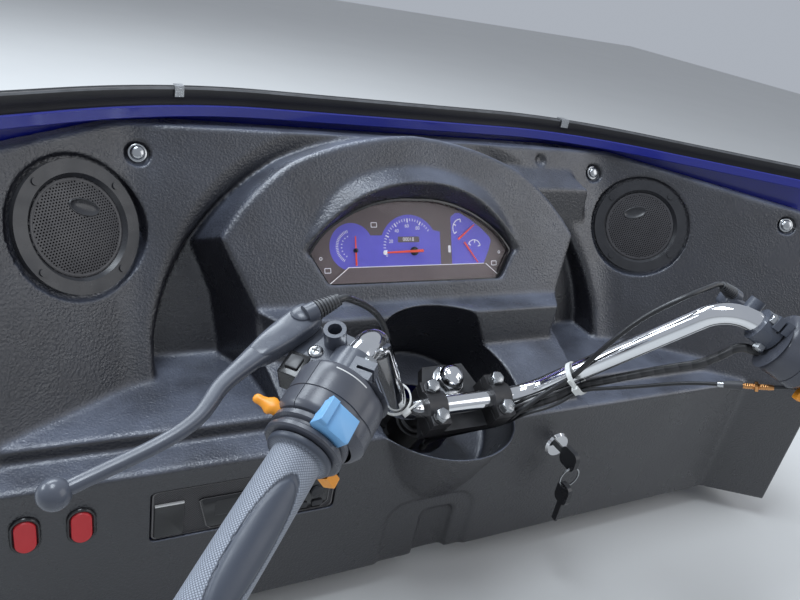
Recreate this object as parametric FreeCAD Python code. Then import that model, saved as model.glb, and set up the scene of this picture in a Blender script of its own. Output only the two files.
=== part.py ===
import FreeCAD, Part
import math
import os

os.makedirs("parts", exist_ok=True)
V = FreeCAD.Vector

# Frame: X to the driver's right, Y to the front of the vehicle, Z up.
# Origin: centre of the mounting face on the front of the bulkhead.

# Driving dimensions, mm.
WALL = 3.5               # moulded dash panel
SHEET = 2.5              # bulkhead sheet
HALF_W = 585.0           # half width of the dash
FLAT_HALF = 270.0        # half width of the flat middle of the bulkhead
FOLD_GAP = 51.0          # the dash folds this much further out than the bulkhead
TOE = 0.632              # how far each end turns back, per mm of width
TILT = math.radians(28.0)             # instrument face leans back
RAKE = math.radians(29.0)             # steering axis
BULK_LOW = -90.0         # bottom edge of the bulkhead
FASCIA_Y = -300.0        # upright fascia
FASCIA_LOW = -58.0
CREASE_X = 498.0         # where the fascia turns forward
LIP_Z = 140.0
TRAY_Z = 156.0
TRAY_Y = -262.0
TRAY_X = 470.0
TOP_Z = 395.0            # rim along the top of the dash
RIM_OUT = 57.0           # rim to bulkhead
# The wall leans back so that it meets the lip where the fascia turns.
LEAN = (-FASCIA_Y - RIM_OUT - TOE * (CREASE_X - FLAT_HALF - FOLD_GAP)) / (TOP_Z - LIP_Z)
RIM_FALL = 7.0           # the deck behind the rim falls this much
EDGE_R = 5.0             # rounding of the moulded edges
RIM_R = 4.0
CREASE_R = 14.0
BEND_R = 70.0            # rounding of the fold
SPK_X = 368.0            # loudspeaker centre
SPK_Z = 310.0
SPK_RING_R = 65.0
SPK_HOLE_R = 52.0
SPK_GAP = 6.0            # groove round the loudspeaker
FACE_OUT = 37.0          # instrument face stands out from the dash wall
FACE_Z = 237.6           # height on the wall that the face is measured from
VALLEY_DEEP = 50.0       # hollow round the instrument housing, at the bottom
HOOD_OUT = 19.0          # brow over the instruments
LEDGE_Z = 236.0          # ledges under the instruments
LEDGE_Y = -212.0
STEP_Z = 188.0
STEP_Y = -285.0
HOUSING_DEEP = 100.0     # instrument housing: depth of its walls, and how much they widen on the way
HOUSING_FLARE = 1.15
BROW_TALL = 79.0         # from the foot of the brow to its crest
BOWL_R = 94.5            # well that the steering stem stands in
BOWL_FLOOR = -120.0
BOWL_HOLE_R = 45.0
STEM_Z = 197.0           # stem nut
STEM_Y = -277.0
STEM_R = 14.0
TUBE_R = 11.1            # handlebar
BOLT_SEAT_R = 13.0
BOLT_SEAT = 5.0
BOLT_Z = 367.0
BOLT_X = 308.0
END_BOLT = 36.0          # outer bolt from the end of the dash
END_BOLT_Z = 350.0
FIT = 0.3                # between moulded pieces
KEY_X = 164.0
KEY_Z = 86.0
LOCK_R = 12.0
KEY_T, KEY_BLADE = 2.4, 8.0           # blade of the keys: thickness and width
RADIO_X0, RADIO_X1 = -322.0, -134.0
RADIO_Z0, RADIO_Z1 = 54.0, 114.0
ROCKER_X = (-427.0, -382.0)
ROCKER_Z = 92.0
ROCKER_HALF_W, ROCKER_HALF_H = 9.0, 17.0
BRAKE_ROLL = -17.0       # degrees that the right-hand controls are turned forward round the bar

# Small helpers.
X = V(1, 0, 0)
E1 = V(0, -math.sin(TILT), -math.cos(TILT))
E2 = V(0, math.cos(TILT), -math.sin(TILT))
AXIS = V(0, -math.sin(RAKE), math.cos(RAKE))
FWD = V(0, math.cos(RAKE), math.sin(RAKE))
AXIS_AT = V(0, STEM_Y, STEM_Z)
FOLD_X = FLAT_HALF + FOLD_GAP
SIDE_N = V(-TOE, -1, LEAN).normalize()
MID_N = V(0, -1, LEAN).normalize()


def wall_y(x, z):
    """Y of the dash wall's surface, which folds back past FOLD_X."""
    return -RIM_OUT - TOE * max(abs(x) - FOLD_X, 0.0) - LEAN * (TOP_Z - z)


FACE_AT = V(0, wall_y(0, FACE_Z), FACE_Z) - E2 * FACE_OUT
SPK_AT = V(SPK_X, wall_y(SPK_X, SPK_Z), SPK_Z)
SPK_N = SIDE_N
UP_WALL = V(0, LEAN, 1).normalize()


def face_pt(x, e1, deep=0.0):
    return FACE_AT + X * x + E1 * e1 + E2 * deep


def ax(x, u, h):
    """Point from the steering axis: x across, u forward, h up the axis."""
    return AXIS_AT + X * x + FWD * u + AXIS * h


def wire(points):
    return Part.makePolygon(list(points) + [points[0]])


def prism(points, z0, z1):
    pts = [V(p[0], p[1], z0) for p in points]
    return Part.Face(wire(pts)).extrude(V(0, 0, z1 - z0))


def plate(points, vec):
    return Part.Face(wire(points)).extrude(vec)


def cyl(p, d, r, length):
    return Part.makeCylinder(r, length, p, d)


def box(x0, x1, y0, y1, z0, z1):
    return Part.makeBox(x1 - x0, y1 - y0, z1 - z0, V(x0, y0, z0))


def fuse(shapes):
    out = shapes[0]
    if len(shapes) > 1:
        out = out.multiFuse(shapes[1:])
    return out.removeSplitter()


def place(shape, p, rot):
    s = shape.copy()
    s.Placement = FreeCAD.Placement(p, rot)
    return s


def half(p, n, size=1500.0):
    """Big block that fills the side of plane (p, n) that the normal points to."""
    b = Part.makeBox(2 * size, 2 * size, size, V(-size, -size, 0))
    return place(b, p, FreeCAD.Rotation(V(0, 0, 1), V(n).normalize()))


def mirror(shape):
    return shape.mirror(V(0, 0, 0), X)


def soften(shape, r, pick):
    """Round the edges that pick accepts by middle point, unit direction (zero for a ring) and length."""
    edges = []
    for e in shape.Edges:
        a, b = e.FirstParameter, e.LastParameter
        span = e.valueAt(b) - e.valueAt(a)
        ring = span.Length < 0.5
        mid = e.CenterOfMass if ring else e.valueAt((a + b) / 2)
        if e.Length > 0.5 and pick(mid, V(0, 0, 0) if ring else span.normalize(), e.Length):
            edges.append(e)
    return shape.makeFillet(r, edges)


def pipe(points, r, bend, hollow=0.0):
    """Tube along straight runs joined by tangent arcs."""
    edges = []
    last = points[0]
    for i in range(1, len(points) - 1):
        p = points[i]
        a = (points[i - 1] - p).normalize()
        b = (points[i + 1] - p).normalize()
        ang = a.getAngle(b)
        rb = bend[i - 1] if isinstance(bend, (list, tuple)) else bend
        t = rb / math.tan(ang / 2)
        p1 = p + a * t
        p2 = p + b * t
        mid_dir = (a + b).normalize()
        pm = p + mid_dir * (rb / math.sin(ang / 2) - rb)
        if (p1 - last).Length > 0.01:
            edges.append(Part.makeLine(last, p1))
        edges.append(Part.Arc(p1, pm, p2).toShape())
        last = p2
    edges.append(Part.makeLine(last, points[-1]))
    path = Part.Wire(edges)
    d0 = (points[1] - points[0]).normalize()

    def sweep(rad):
        ring = Part.Wire([Part.makeCircle(rad, points[0], d0)])
        return path.makePipeShell([ring], True, True)
    out = sweep(r)
    if hollow:
        out = out.cut(sweep(hollow))
    return out


def cord_bends(points):
    """Arc radii that suit a cord: 0.45 of the shorter run over tan of half the turn."""
    out = []
    for a, b, c in zip(points, points[1:], points[2:]):
        turn = (b - a).getAngle(c - b)
        out.append(0.45 * min((b - a).Length, (c - b).Length) / math.tan(turn / 2))
    return out


def save(name, shape):
    solids = shape.Solids
    if len(solids) == 1:
        shape = solids[0]
    print(name, len(solids), shape.isValid(), round(shape.Volume / 1000, 1))
    shape.exportStep("parts/%s.step" % name)


def both(name, shape):
    save(name + "_r", shape)
    save(name + "_l", mirror(shape))


# Bulkhead, rail and seal.
RAIL_Z = TOP_Z + 7.0
RAIL_T = 3.0
RAIL_DEEP = 34.0
SEAL_T = 16.0
SEAL_H = 28.0
MOUNT_X, MOUNT_Z, MOUNT_R = 60.0, 50.0, 4.5
SILL = 15.0              # the bulkhead reaches past the dash
FOOT_DEEP = 26.0         # flange along the bottom of the bulkhead
RAIL_BACK = 24.0         # rail: heights of its back and front edges
RAIL_FRONT = 12.0
GLASS_SLOT = (5.0, 10.0, 13.0)        # groove in the seal: from, to, and above its foot
CLIP_HALF, CLIP_T, CLIP_TALL, CLIP_HOOK = 7.0, 2.0, 28.0, 8.0


def front_line(off):
    """Plan line of the bulkhead, moved back by off, from right to left."""
    y2 = -off - TOE * (HALF_W + SILL - FLAT_HALF)
    return [(HALF_W + SILL, y2), (FLAT_HALF, -off), (-FLAT_HALF, -off), (-HALF_W - SILL, y2)]


def strip(off0, off1, z0, z1):
    return prism(front_line(off0) + front_line(off1)[::-1], z0, z1)


def mount_holes(shape):
    for sx in (-1, 1):
        for sz in (-1, 1):
            shape = shape.cut(cyl(V(sx * MOUNT_X, -10, sz * MOUNT_Z), V(0, 1, 0), MOUNT_R, 20))
    return shape


bulk = fuse([strip(0, SHEET, BULK_LOW, RAIL_Z), strip(0, FOOT_DEEP, BULK_LOW, BULK_LOW + SHEET)])
save("bulkhead", mount_holes(bulk))
rail = fuse([strip(0, RAIL_DEEP, RAIL_Z, RAIL_Z + RAIL_T), strip(0, RAIL_T, RAIL_Z, RAIL_Z + RAIL_BACK),
             strip(RAIL_DEEP - RAIL_T, RAIL_DEEP, RAIL_Z, RAIL_Z + RAIL_FRONT)])
save("screen_rail", rail)
SEAL_Z = RAIL_Z + RAIL_T
seal = strip(RAIL_T, RAIL_T + SEAL_T, SEAL_Z, SEAL_Z + SEAL_H)
slot_y0, slot_y1, slot_z = GLASS_SLOT
seal = seal.cut(strip(RAIL_T + slot_y0, RAIL_T + slot_y1, SEAL_Z + slot_z, SEAL_Z + SEAL_H + 5))
save("screen_seal", seal)
CLIP_X = FLAT_HALF - 8.0
clip_y = -RAIL_T - SEAL_T
for name, x in (("glass_clip_l", -CLIP_X), ("glass_clip_r", CLIP_X)):
    top = SEAL_Z + SEAL_H
    x0, x1 = x - CLIP_HALF, x + CLIP_HALF
    clip = fuse([box(x0, x1, clip_y - CLIP_T, clip_y, top - CLIP_TALL, top + CLIP_T),
                 box(x0, x1, clip_y - CLIP_T, clip_y + CLIP_HOOK, top, top + CLIP_T)])
    save(name, clip)


# Dash panel: the outer form, less the same form set in by the wall.
BACK_Y = -SHEET


def on_wall(x, z):
    return V(x, wall_y(x, z), z)


def plan(front_y, crease, w):
    """Plan outline of the dash at one level, moved inward by w."""
    fy = front_y + w
    hw = HALF_W - w
    end = fy - TOE * (hw - crease)
    open_y = 30.0 if w else 0.0
    b1 = BACK_Y - TOE * (hw - FLAT_HALF) + open_y
    return [(-crease, fy), (crease, fy), (hw, end), (hw, b1), (FLAT_HALF, BACK_Y + open_y),
            (-FLAT_HALF, BACK_Y + open_y), (-hw, b1), (-hw, end)]


def fascia_block(w, z0, z1):
    """Block under the fascia's plan outline, with its two creases rounded."""
    b = prism(plan(FASCIA_Y, CREASE_X, w), z0, z1)
    return soften(b, CREASE_R - w, lambda p, d, n: abs(abs(p.x) - CREASE_X) < 1 and abs(d.z) > 0.9)


def arch(points, foot, deep=0.0):
    """Closed wire on the instrument face: arcs through mirrored points, down to foot."""
    pts = [face_pt(-x, e, deep) for x, e in reversed(points)] + [face_pt(x, e, deep) for x, e in points[1:]]
    edges = [Part.Arc(*pts[i:i + 3]).toShape() for i in range(0, len(pts) - 2, 2)]
    corners = [pts[-1]] + [face_pt(x, e, deep) for x, e in foot]
    corners += [face_pt(-x, e, deep) for x, e in reversed(foot)] + [pts[0]]
    edges += [Part.makeLine(a, b) for a, b in zip(corners, corners[1:])]
    return Part.Wire(edges)


def grown(w, by):
    return w.makeOffset2D(by, join=2) if by else w.copy()


def slab(w, by, deep0, deep1):
    """Plate on the instrument face between two depths, from outline w grown by by."""
    face = Part.Face(grown(w, by))
    face.translate(E2 * deep0)
    return face.extrude(E2 * (deep1 - deep0))


HOUSING = [(0, -174), (79, -163), (151, -138), (196, -103), (235, -55)]
HOUSING_FOOT = [(202, 20), (202, 60)]
RIDGE = [(0, -181), (57, -177), (118, -165), (226, -101), (300, 47)]
RIDGE_FOOT = [(300, 120)]
RIDGE_ROUND = [(16, -2), (4, 2), (1, 5), (0, 9)]     # out from the ridge line, and in behind the wall
BROW = [(0, -145), (60, -138), (104, -121), (133, -93), (150, -50)]
CREST = [(0, -119), (46, -113), (81, -99), (117, -71), (146, -40)]
GLASS = [(0, -101), (58, -94), (101, -74), (124, -56), (138, -37)]
GLASS_FOOT = [(116, 0)]
CAN_DEEP = 72.0          # instrument can reaches this far behind the face
COLLAR_DEEP = 14.0
SHELF_X0, SHELF_X1, SHELF_LOW = 120.0, 285.0, 300.0
SHELF_Z, SHELF_OUT = 370.0, 28.0


def crest(by):
    """Crest line of the brow, on a plane tilted out at its top."""
    w1 = grown(arch(CREST, [(132, -30)]), by)
    w1.rotate(face_pt(0, -40), X, math.degrees(math.atan(HOOD_OUT / BROW_TALL)))
    w1.translate(E2 * max(-by, 0.0))
    return w1


def housing(w):
    """Instrument housing, wider towards its foot, with the brow on its face."""
    w0 = grown(arch(HOUSING, HOUSING_FOOT, w), -w)
    w1 = w0.copy()
    w1.scale(HOUSING_FLARE, face_pt(0, -40, w))
    w1.translate(E2 * HOUSING_DEEP)
    body = Part.makeLoft([w0, w1], True, True)
    top = Part.makeLoft([grown(arch(BROW, [(136, -30)], 8.0), -w), crest(-w)], True, True)
    if not w:
        body = soften(body, EDGE_R,
                      lambda p, d, n: abs((p - FACE_AT).dot(E2)) < 0.1 and (p - FACE_AT).dot(E1) < -20)
    return body.fuse(top)


def valley(w):
    """Hollow round the housing; its floor runs deeper from the top of the ridge down."""
    rise = -RIDGE[0][1] + 100.0
    n = (E1 * VALLEY_DEEP - E2 * rise).normalize()
    outline = arch(RIDGE, RIDGE_FOOT)
    rings = []
    for out, deep in RIDGE_ROUND:
        ring = grown(outline, out + w)
        ring.translate(E2 * (FACE_OUT + deep))
        rings.append(ring)
    hollow = [Part.makeLoft([r0, r1], True, True) for r0, r1 in zip(rings, rings[1:])]
    hollow.append(slab(outline, RIDGE_ROUND[0][0] + w, FACE_OUT - 80, FACE_OUT + RIDGE_ROUND[0][1]))
    hollow.append(slab(outline, w, FACE_OUT + RIDGE_ROUND[-1][1], FACE_OUT + 160))
    return fuse(hollow).common(half(face_pt(0, RIDGE[0][1], FACE_OUT) - n * w, n))


def ledge(top, pts, w):
    p = [(x - w, y + w) for x, y in pts]
    return prism(p + [(-x, y) for x, y in reversed(p)], 100, top - w)


def upper_wall(w):
    """Leaning wall with its folded ends and the deck behind its rim."""
    left_n = V(-SIDE_N.x, SIDE_N.y, SIDE_N.z)
    front = half(on_wall(0, SPK_Z) - MID_N * w, MID_N)
    for sx, n in ((1, SIDE_N), (-1, left_n)):
        front = front.common(half(on_wall(sx * FOLD_X, SPK_Z) - n * w, n))
    front = soften(front, BEND_R + w, lambda p, d, n: d.cross(UP_WALL).Length < 0.01 and abs(p.x) < HALF_W)
    wall = fascia_block(w, 100, TOP_Z + 35).cut(front)
    wall = wall.cut(half(V(0, -RIM_OUT, TOP_Z - w), V(0, RIM_FALL / RIM_OUT, 1)))
    for sx in (1, -1):
        wall = wall.cut(half(V(sx * FOLD_X, 0, TOP_Z + 1.5 - w), V(sx * 0.105, 0, 1)))
    if not w:
        wall = soften(wall, RIM_R,
                      lambda p, d, n: p.z > TOP_Z - 30 and abs(d.z) < 0.12 and abs(p.x) < HALF_W - 30
                      and p.y < wall_y(p.x, p.z) + 12 and abs(d.x) > 0.5)
    return wall


def shelf(w):
    """Small wedge shelf to the right of the instruments."""
    back = wall_y(0, SHELF_Z)
    edge_y = back - SHELF_OUT
    pts = [(back, SHELF_Z), (edge_y, SHELF_Z - 20), (edge_y - 6, SHELF_LOW), (BACK_Y, SHELF_LOW),
           (BACK_Y, SHELF_Z - 10)]
    low = [V(SHELF_X0, y + w, z + w if z == SHELF_LOW else z - w) for y, z in pts]
    out = plate(low, V(SHELF_X1 - SHELF_X0 - w, 0, 0))
    return out.cut(half(V(SHELF_X1 - w, edge_y, SHELF_Z - 20), V(1, 0.6, 0.35)))


def form(w):
    low = -300.0 if w else FASCIA_LOW
    back = 30.0 if w else BACK_Y
    wall = upper_wall(w).cut(valley(w))
    tray_y = TRAY_Y + w
    tray = prism([(TRAY_X, tray_y), (TRAY_X, back), (-TRAY_X, back), (-TRAY_X, tray_y)], low, TRAY_Z - w)
    lip = fascia_block(w, low, LIP_Z - w)
    pad = ledge(LEDGE_Z, [(235, -110), (202, -181), (183, LEDGE_Y)], w)
    step = ledge(STEP_Z + 12, [(230, -110), (200, -190), (190, STEP_Y)], w)
    step = step.cut(half(V(0, LEDGE_Y, STEP_Z - w), V(0, -0.31, 0.95)))
    if not w:
        tray = soften(tray, EDGE_R, lambda p, d, n: abs(p.y - TRAY_Y) < 0.1 and abs(p.z - TRAY_Z) < 0.1)
        lip = soften(lip, EDGE_R, lambda p, d, n: abs(p.y - FASCIA_Y) < 0.1 and abs(p.z - LIP_Z) < 0.1)
        pad = soften(pad, EDGE_R, lambda p, d, n: abs(p.y - LEDGE_Y) < 0.1 and abs(p.z - LEDGE_Z) < 0.1)
        step = soften(step, EDGE_R, lambda p, d, n: abs(p.y - STEP_Y) < 0.1 and abs(d.x) > 0.9)
    blocks = [wall, lip, tray.common(fascia_block(w, low, TRAY_Z + 1)), pad, step, shelf(w),
              housing(w).common(box(-400, 400, -400, back, 120, 450))]
    if w:
        return fuse(blocks).cut(cyl(ax(0, 0, BOWL_FLOOR - w), AXIS, BOWL_R + w, 400))
    nose = cyl(ax(0, 0, BOWL_FLOOR - WALL), AXIS, BOWL_R + WALL, 220)
    blocks.append(nose.cut(half(V(0, 0, LIP_Z), V(0, 0, 1))))
    body = fuse(blocks).cut(cyl(ax(0, 0, BOWL_FLOOR), AXIS, BOWL_R, 400))
    return body


GLASS_W = arch(GLASS, GLASS_FOOT)


def funnel(by):
    """Opening in the brow: tapers from the crest to the glass, then runs straight."""
    ring = grown(GLASS_W, by)
    ring.translate(E2 * 6)
    taper = Part.makeLoft([crest(by), ring], True, True)
    front = Part.Face(crest(by)).extrude(E2 * -60)
    return fuse([taper, front, slab(GLASS_W, by, 5.9, COLLAR_DEEP)])


def through(p, n, r, deep=30.0):
    return cyl(p - n * deep, n, r, 2 * deep)


BOLTS = ((BOLT_X, BOLT_Z, MID_N), (HALF_W - END_BOLT, END_BOLT_Z, SIDE_N))
PLUG_X, PLUG_Z, PLUG_R = 214.0, 380.0, 8.0
outer = form(0)
inner = form(WALL)
SEATS = [(SPK_AT, SPK_N, SPK_RING_R + SPK_GAP + WALL)]
SEATS += [(on_wall(x, z), n, BOLT_SEAT_R + WALL) for x, z, n in BOLTS]
for p, n, r in SEATS:
    pad = cyl(p - n * (BOLT_SEAT + WALL), n, r, 30)
    inner = inner.cut(pad).cut(mirror(pad))
inner = inner.cut(cyl(on_wall(PLUG_X, PLUG_Z) - MID_N * (BOLT_SEAT + WALL), MID_N, PLUG_R + WALL, 30))
dash = outer.cut(inner)
dash = fuse([dash, funnel(WALL).common(outer)])
dash = dash.cut(funnel(0)).cut(slab(GLASS_W, 0, 0, COLLAR_DEEP + 10))
cuts = [cyl(SPK_AT - SPK_N * 4.0, SPK_N, SPK_RING_R + SPK_GAP, 30), through(SPK_AT, SPK_N, SPK_HOLE_R, 40)]
for x, z, n in BOLTS:
    cuts += [cyl(on_wall(x, z) - n * BOLT_SEAT, n, BOLT_SEAT_R, 30), through(on_wall(x, z), n, 3.2)]
for c in cuts:
    dash = dash.cut(c).cut(mirror(c))
dash = dash.cut(cyl(on_wall(PLUG_X, PLUG_Z) - MID_N * BOLT_SEAT, MID_N, PLUG_R, 30))
dash = dash.cut(box(RADIO_X0, RADIO_X1, FASCIA_Y - 20, FASCIA_Y + 20, RADIO_Z0, RADIO_Z1))
dash = dash.cut(cyl(V(KEY_X, FASCIA_Y - 10, KEY_Z), V(0, 1, 0), LOCK_R + FIT, 30))
dash = dash.cut(cyl(ax(0, 0, BOWL_FLOOR - 30), AXIS, BOWL_HOLE_R, 60))


def oval(x, z, a, b, y, deep):
    """Tall oval block on the fascia: half width a, half height b."""
    mid = box(x - a, x + a, y, y + deep, z - b + a, z + b - a)
    ends = [cyl(V(x, y, zz), V(0, 1, 0), a, deep) for zz in (z - b + a, z + b - a)]
    return fuse([mid] + ends)


for x in ROCKER_X:
    dash = dash.cut(oval(x, ROCKER_Z, ROCKER_HALF_W, ROCKER_HALF_H, FASCIA_Y - 10, 30))


def recess(x0, x1, top, deep, r):
    """Arched recess pressed into the fascia, open at its lower edge."""
    b = box(x0, x1, FASCIA_Y - 80, FASCIA_Y + deep, FASCIA_LOW - 20, top)
    return soften(b, r, lambda p, d, n: abs(p.z - top) < 0.1 and abs(d.y) > 0.9)


# The column cover pressed into the fascia: two steps with a wall behind them.
PRESS = ((-62.0, 60.0, 38.0, 2.5, 30.0), (-12.0, 33.0, 14.0, 10.0, 10.0))
wall_add = [recess(x0 - WALL, x1 + WALL, top + WALL, deep + WALL, r + WALL) for x0, x1, top, deep, r in PRESS]
wall_cut = [recess(x0, x1, top, deep, r) for x0, x1, top, deep, r in PRESS]
skin = box(-100, 100, FASCIA_Y, FASCIA_Y + 20, FASCIA_LOW, 60)
dash = fuse([dash, fuse(wall_add).common(skin)]).cut(fuse(wall_cut).common(skin))
save("dash_panel", dash)

# Loudspeakers.
RING_IN = 48.0


def spk(off):
    return SPK_AT + SPK_N * off


ring = cyl(spk(-4.0), SPK_N, SPK_RING_R, 7).cut(cyl(spk(-6), SPK_N, RING_IN, 20))
ring = ring.cut(Part.makeCone(RING_IN, RING_IN + 4, 5, spk(-1.9), SPK_N))
side_dir = SPK_N.cross(V(0, 0, 1)).normalize()
up_dir = side_dir.cross(SPK_N).normalize()
for deg in (33, 123, 213, 303):
    a = math.radians(deg)
    screw = (side_dir * math.cos(a) + up_dir * math.sin(a)) * ((RING_IN + 4 + SPK_RING_R) / 2)
    ring = ring.fuse(cyl(SPK_AT + screw, SPK_N, 3.6, 4.6))
both("speaker_ring", ring.removeSplitter())
both("speaker_grille", cyl(spk(-6), SPK_N, RING_IN - 0.2, 5))
BASKET_R = SPK_HOLE_R - 0.5
basket = Part.makeCone(BASKET_R - 19, BASKET_R, 18, spk(-24.2), SPK_N).fuse(cyl(spk(-38), SPK_N, 28, 15))
both("speaker_basket", basket.removeSplitter())

# Mounting bolts of the dash.
for name, (x, z, n) in zip(("dash_bolt_inner", "dash_bolt_outer"), BOLTS):
    p = on_wall(x, z) - n * BOLT_SEAT
    both(name, fuse([cyl(p, n, 9.5, 1.6), cyl(p + n * 1.6, n, 7.5, 5), cyl(p - n * 12, n, 3, 12.5)]))

# Instrument cluster: bezel, can, dial and clear cover.
BEZEL_T = 2.5
bezel = slab(GLASS_W, -FIT, 8, COLLAR_DEEP).cut(slab(GLASS_W, -FIT - BEZEL_T, 0, COLLAR_DEEP + 1))
FLANGE_T = 4.0
flange = slab(GLASS_W, WALL, COLLAR_DEEP, COLLAR_DEEP + FLANGE_T)
flange = flange.cut(slab(GLASS_W, -FIT - BEZEL_T, 0, COLLAR_DEEP + 9))
save("cluster_housing", fuse([bezel, flange]))
save("cluster_body", slab(GLASS_W, WALL, COLLAR_DEEP + FLANGE_T, CAN_DEEP))
DIAL_IN = -2 * FIT - BEZEL_T
save("cluster_dial", slab(GLASS_W, DIAL_IN, COLLAR_DEEP + 1, COLLAR_DEEP + FLANGE_T))
cover = slab(GLASS_W, DIAL_IN, 10, COLLAR_DEEP + 1).cut(slab(GLASS_W, DIAL_IN - 2, 12, COLLAR_DEEP + 2))
save("cluster_lens", cover)

# Radio, rocker switches and ignition lock.
RADIO_SUNK, RADIO_FACE_T, RADIO_CASE = 3.0, 10.0, 137.0
radio_y = FASCIA_Y + RADIO_SUNK
case_y = radio_y + RADIO_FACE_T
front = box(RADIO_X0 + FIT, RADIO_X1 - FIT, radio_y, case_y, RADIO_Z0 + FIT, RADIO_Z1 - FIT)
case = box(RADIO_X0 + 4, RADIO_X1 - 4, case_y, case_y + RADIO_CASE, RADIO_Z0 + 3, RADIO_Z1 - 3)
save("radio", fuse([front, case]))
for name, x in zip(("rocker_outer", "rocker_inner"), ROCKER_X):
    a, b = ROCKER_HALF_W, ROCKER_HALF_H
    save(name, fuse([oval(x, ROCKER_Z, a - FIT, b - FIT, FASCIA_Y - 4.5, 27),
                     oval(x, ROCKER_Z, a + 3.5, b + 3.5, FASCIA_Y - 2, 2)]))
lock_at = V(KEY_X, FASCIA_Y, KEY_Z)
lock = fuse([Part.makeCone(17, 15, 3.5, lock_at, V(0, -1, 0)), cyl(lock_at, V(0, 1, 0), LOCK_R, 42)])
slot_w = KEY_T / 2 + FIT
slot_h = KEY_BLADE / 2 + 0.5
slot = box(KEY_X - slot_w, KEY_X + slot_w, FASCIA_Y - 8, FASCIA_Y + 5, KEY_Z - slot_h, KEY_Z + slot_h)
save("key_switch", lock.cut(slot))
blade = box(KEY_X - KEY_T / 2, KEY_X + KEY_T / 2, FASCIA_Y - 16, FASCIA_Y + 5 - FIT,
            KEY_Z - KEY_BLADE / 2, KEY_Z + KEY_BLADE / 2)
head = box(KEY_X - 3.2, KEY_X + 3.2, FASCIA_Y - 42, FASCIA_Y - 14, KEY_Z - 13, KEY_Z + 12)
head = soften(head, 8, lambda p, d, n: abs(d.x) > 0.9)
KEY_HOLE_R = 2.6
RING_R, RING_T = 14.0, 1.6
hole_at = V(KEY_X - 10, FASCIA_Y - 37, KEY_Z - 7)
save("ignition_key", fuse([blade, head]).cut(cyl(hole_at, X, KEY_HOLE_R, 20)))
ring_at = hole_at + V(10, 0, -RING_R - 1.3)
rim = cyl(ring_at - V(0, RING_T / 2, 0), V(0, 1, 0), RING_R + RING_T / 2, RING_T)
save("key_ring", rim.cut(cyl(ring_at - V(0, RING_T, 0), V(0, 1, 0), RING_R - RING_T / 2, 2 * RING_T)))
spare_at = ring_at + V(0, 0, -RING_R)
bow = soften(box(-3.2, 3.2, -11, 11, -25.5, 2.5), 8, lambda p, d, n: abs(d.x) > 0.9)
spare = fuse([bow, box(-KEY_T / 2, KEY_T / 2, -KEY_BLADE / 2, KEY_BLADE / 2, -55, -24)])
spare = spare.cut(cyl(V(-10, 0, -1.3), X, KEY_HOLE_R, 20))
save("spare_key", spare.translated(spare_at))

# Head tube with its bracket on the bulkhead.
HEAD_R, HEAD_TOP, HEAD_LOW = 22.0, -126.0, -300.0
RACE_H = 24.0
FREE = 0.05              # running fit of the stem
BRACKET_T = 4.0
head = cyl(ax(0, 0, HEAD_LOW), AXIS, HEAD_R, HEAD_TOP - HEAD_LOW)
web = plate([V(24, -196, 66), V(24, -6.5, 76), V(24, -6.5, -74), V(24, -138, -72)], V(5, 0, 0))
base = box(-82, 82, BACK_Y - BRACKET_T, BACK_Y, -78, 80)
strap = plate([V(-29, -205, 60), V(-29, -150, 68), V(29, -150, 68), V(29, -205, 60)], V(0, 3, -18))
head = fuse([head, web, mirror(web), base, strap]).cut(cyl(ax(0, 0, HEAD_LOW - 10), AXIS, HEAD_R - 4.5, 200))
for h in (HEAD_LOW, HEAD_TOP - RACE_H):
    race = cyl(ax(0, 0, h), AXIS, HEAD_R - 4, RACE_H)
    head = head.fuse(race.cut(cyl(ax(0, 0, h - 1), AXIS, STEM_R + FREE, 30)))
for sx in (-1, 1):
    for z in (-MOUNT_Z, MOUNT_Z):
        head = head.cut(cyl(V(sx * MOUNT_X, -10, z), V(0, 1, 0), MOUNT_R, 20))
save("head_tube", head.removeSplitter())


# Stem with its yoke, nut and the two handlebar clamps.
def turned(at, axis, profile):
    """Turned piece through (height, radius) stations."""
    rings = [Part.Wire([Part.makeCircle(r, at + axis * h, axis)]) for h, r in profile]
    return Part.makeLoft(rings, True, True)


NUT_R = 13.0
NUT = [(0, NUT_R), (11, NUT_R), (15, 11.5), (17.5, 8.5), (19, 4)]
BAR_U, BAR_H = -35.4, -2.0
YOKE_TOP = -20.0
CLAMP_X, CLAMP_HALF_W, CLAMP_HALF_D = 41.0, 11.0, 25.0
SPLIT = 1.0              # the clamp halves stay this far from the middle of the tube


def clamp_block(sx, h0, h1):
    x0, x1 = sx * CLAMP_X - CLAMP_HALF_W, sx * CLAMP_X + CLAMP_HALF_W
    u0, u1 = BAR_U - CLAMP_HALF_D, BAR_U + CLAMP_HALF_D
    return plate([ax(x0, u0, h0), ax(x1, u0, h0), ax(x1, u1, h0), ax(x0, u1, h0)], AXIS * (h1 - h0))


yoke = plate([ax(-54, -58, -32), ax(54, -58, -32), ax(26, 20, -32), ax(-26, 20, -32)], AXIS * (YOKE_TOP + 32))
STUD_R, STUD_TOP = 8.0, -9.0
stem = fuse([cyl(ax(0, 0, HEAD_LOW - 20), AXIS, STEM_R, YOKE_TOP - HEAD_LOW + 18),
             cyl(ax(0, 0, YOKE_TOP - 5), AXIS, STUD_R, STUD_TOP - YOKE_TOP + 5),
             cyl(ax(0, 0, HEAD_TOP + 0.3), AXIS, 19, 6), cyl(ax(0, 0, HEAD_LOW - 8), AXIS, 21, 7.7), yoke])
stem = fuse([stem] + [clamp_block(sx, YOKE_TOP - 1, BAR_H - SPLIT) for sx in (-1, 1)])
bar_cut = cyl(ax(-120, BAR_U, BAR_H), X, TUBE_R, 240)
save("steering_stem", stem.cut(bar_cut).removeSplitter())
nut = fuse([cyl(ax(0, 0, YOKE_TOP), AXIS, NUT_R + 4, 2.4), turned(ax(0, 0, YOKE_TOP), AXIS, NUT)])
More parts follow.
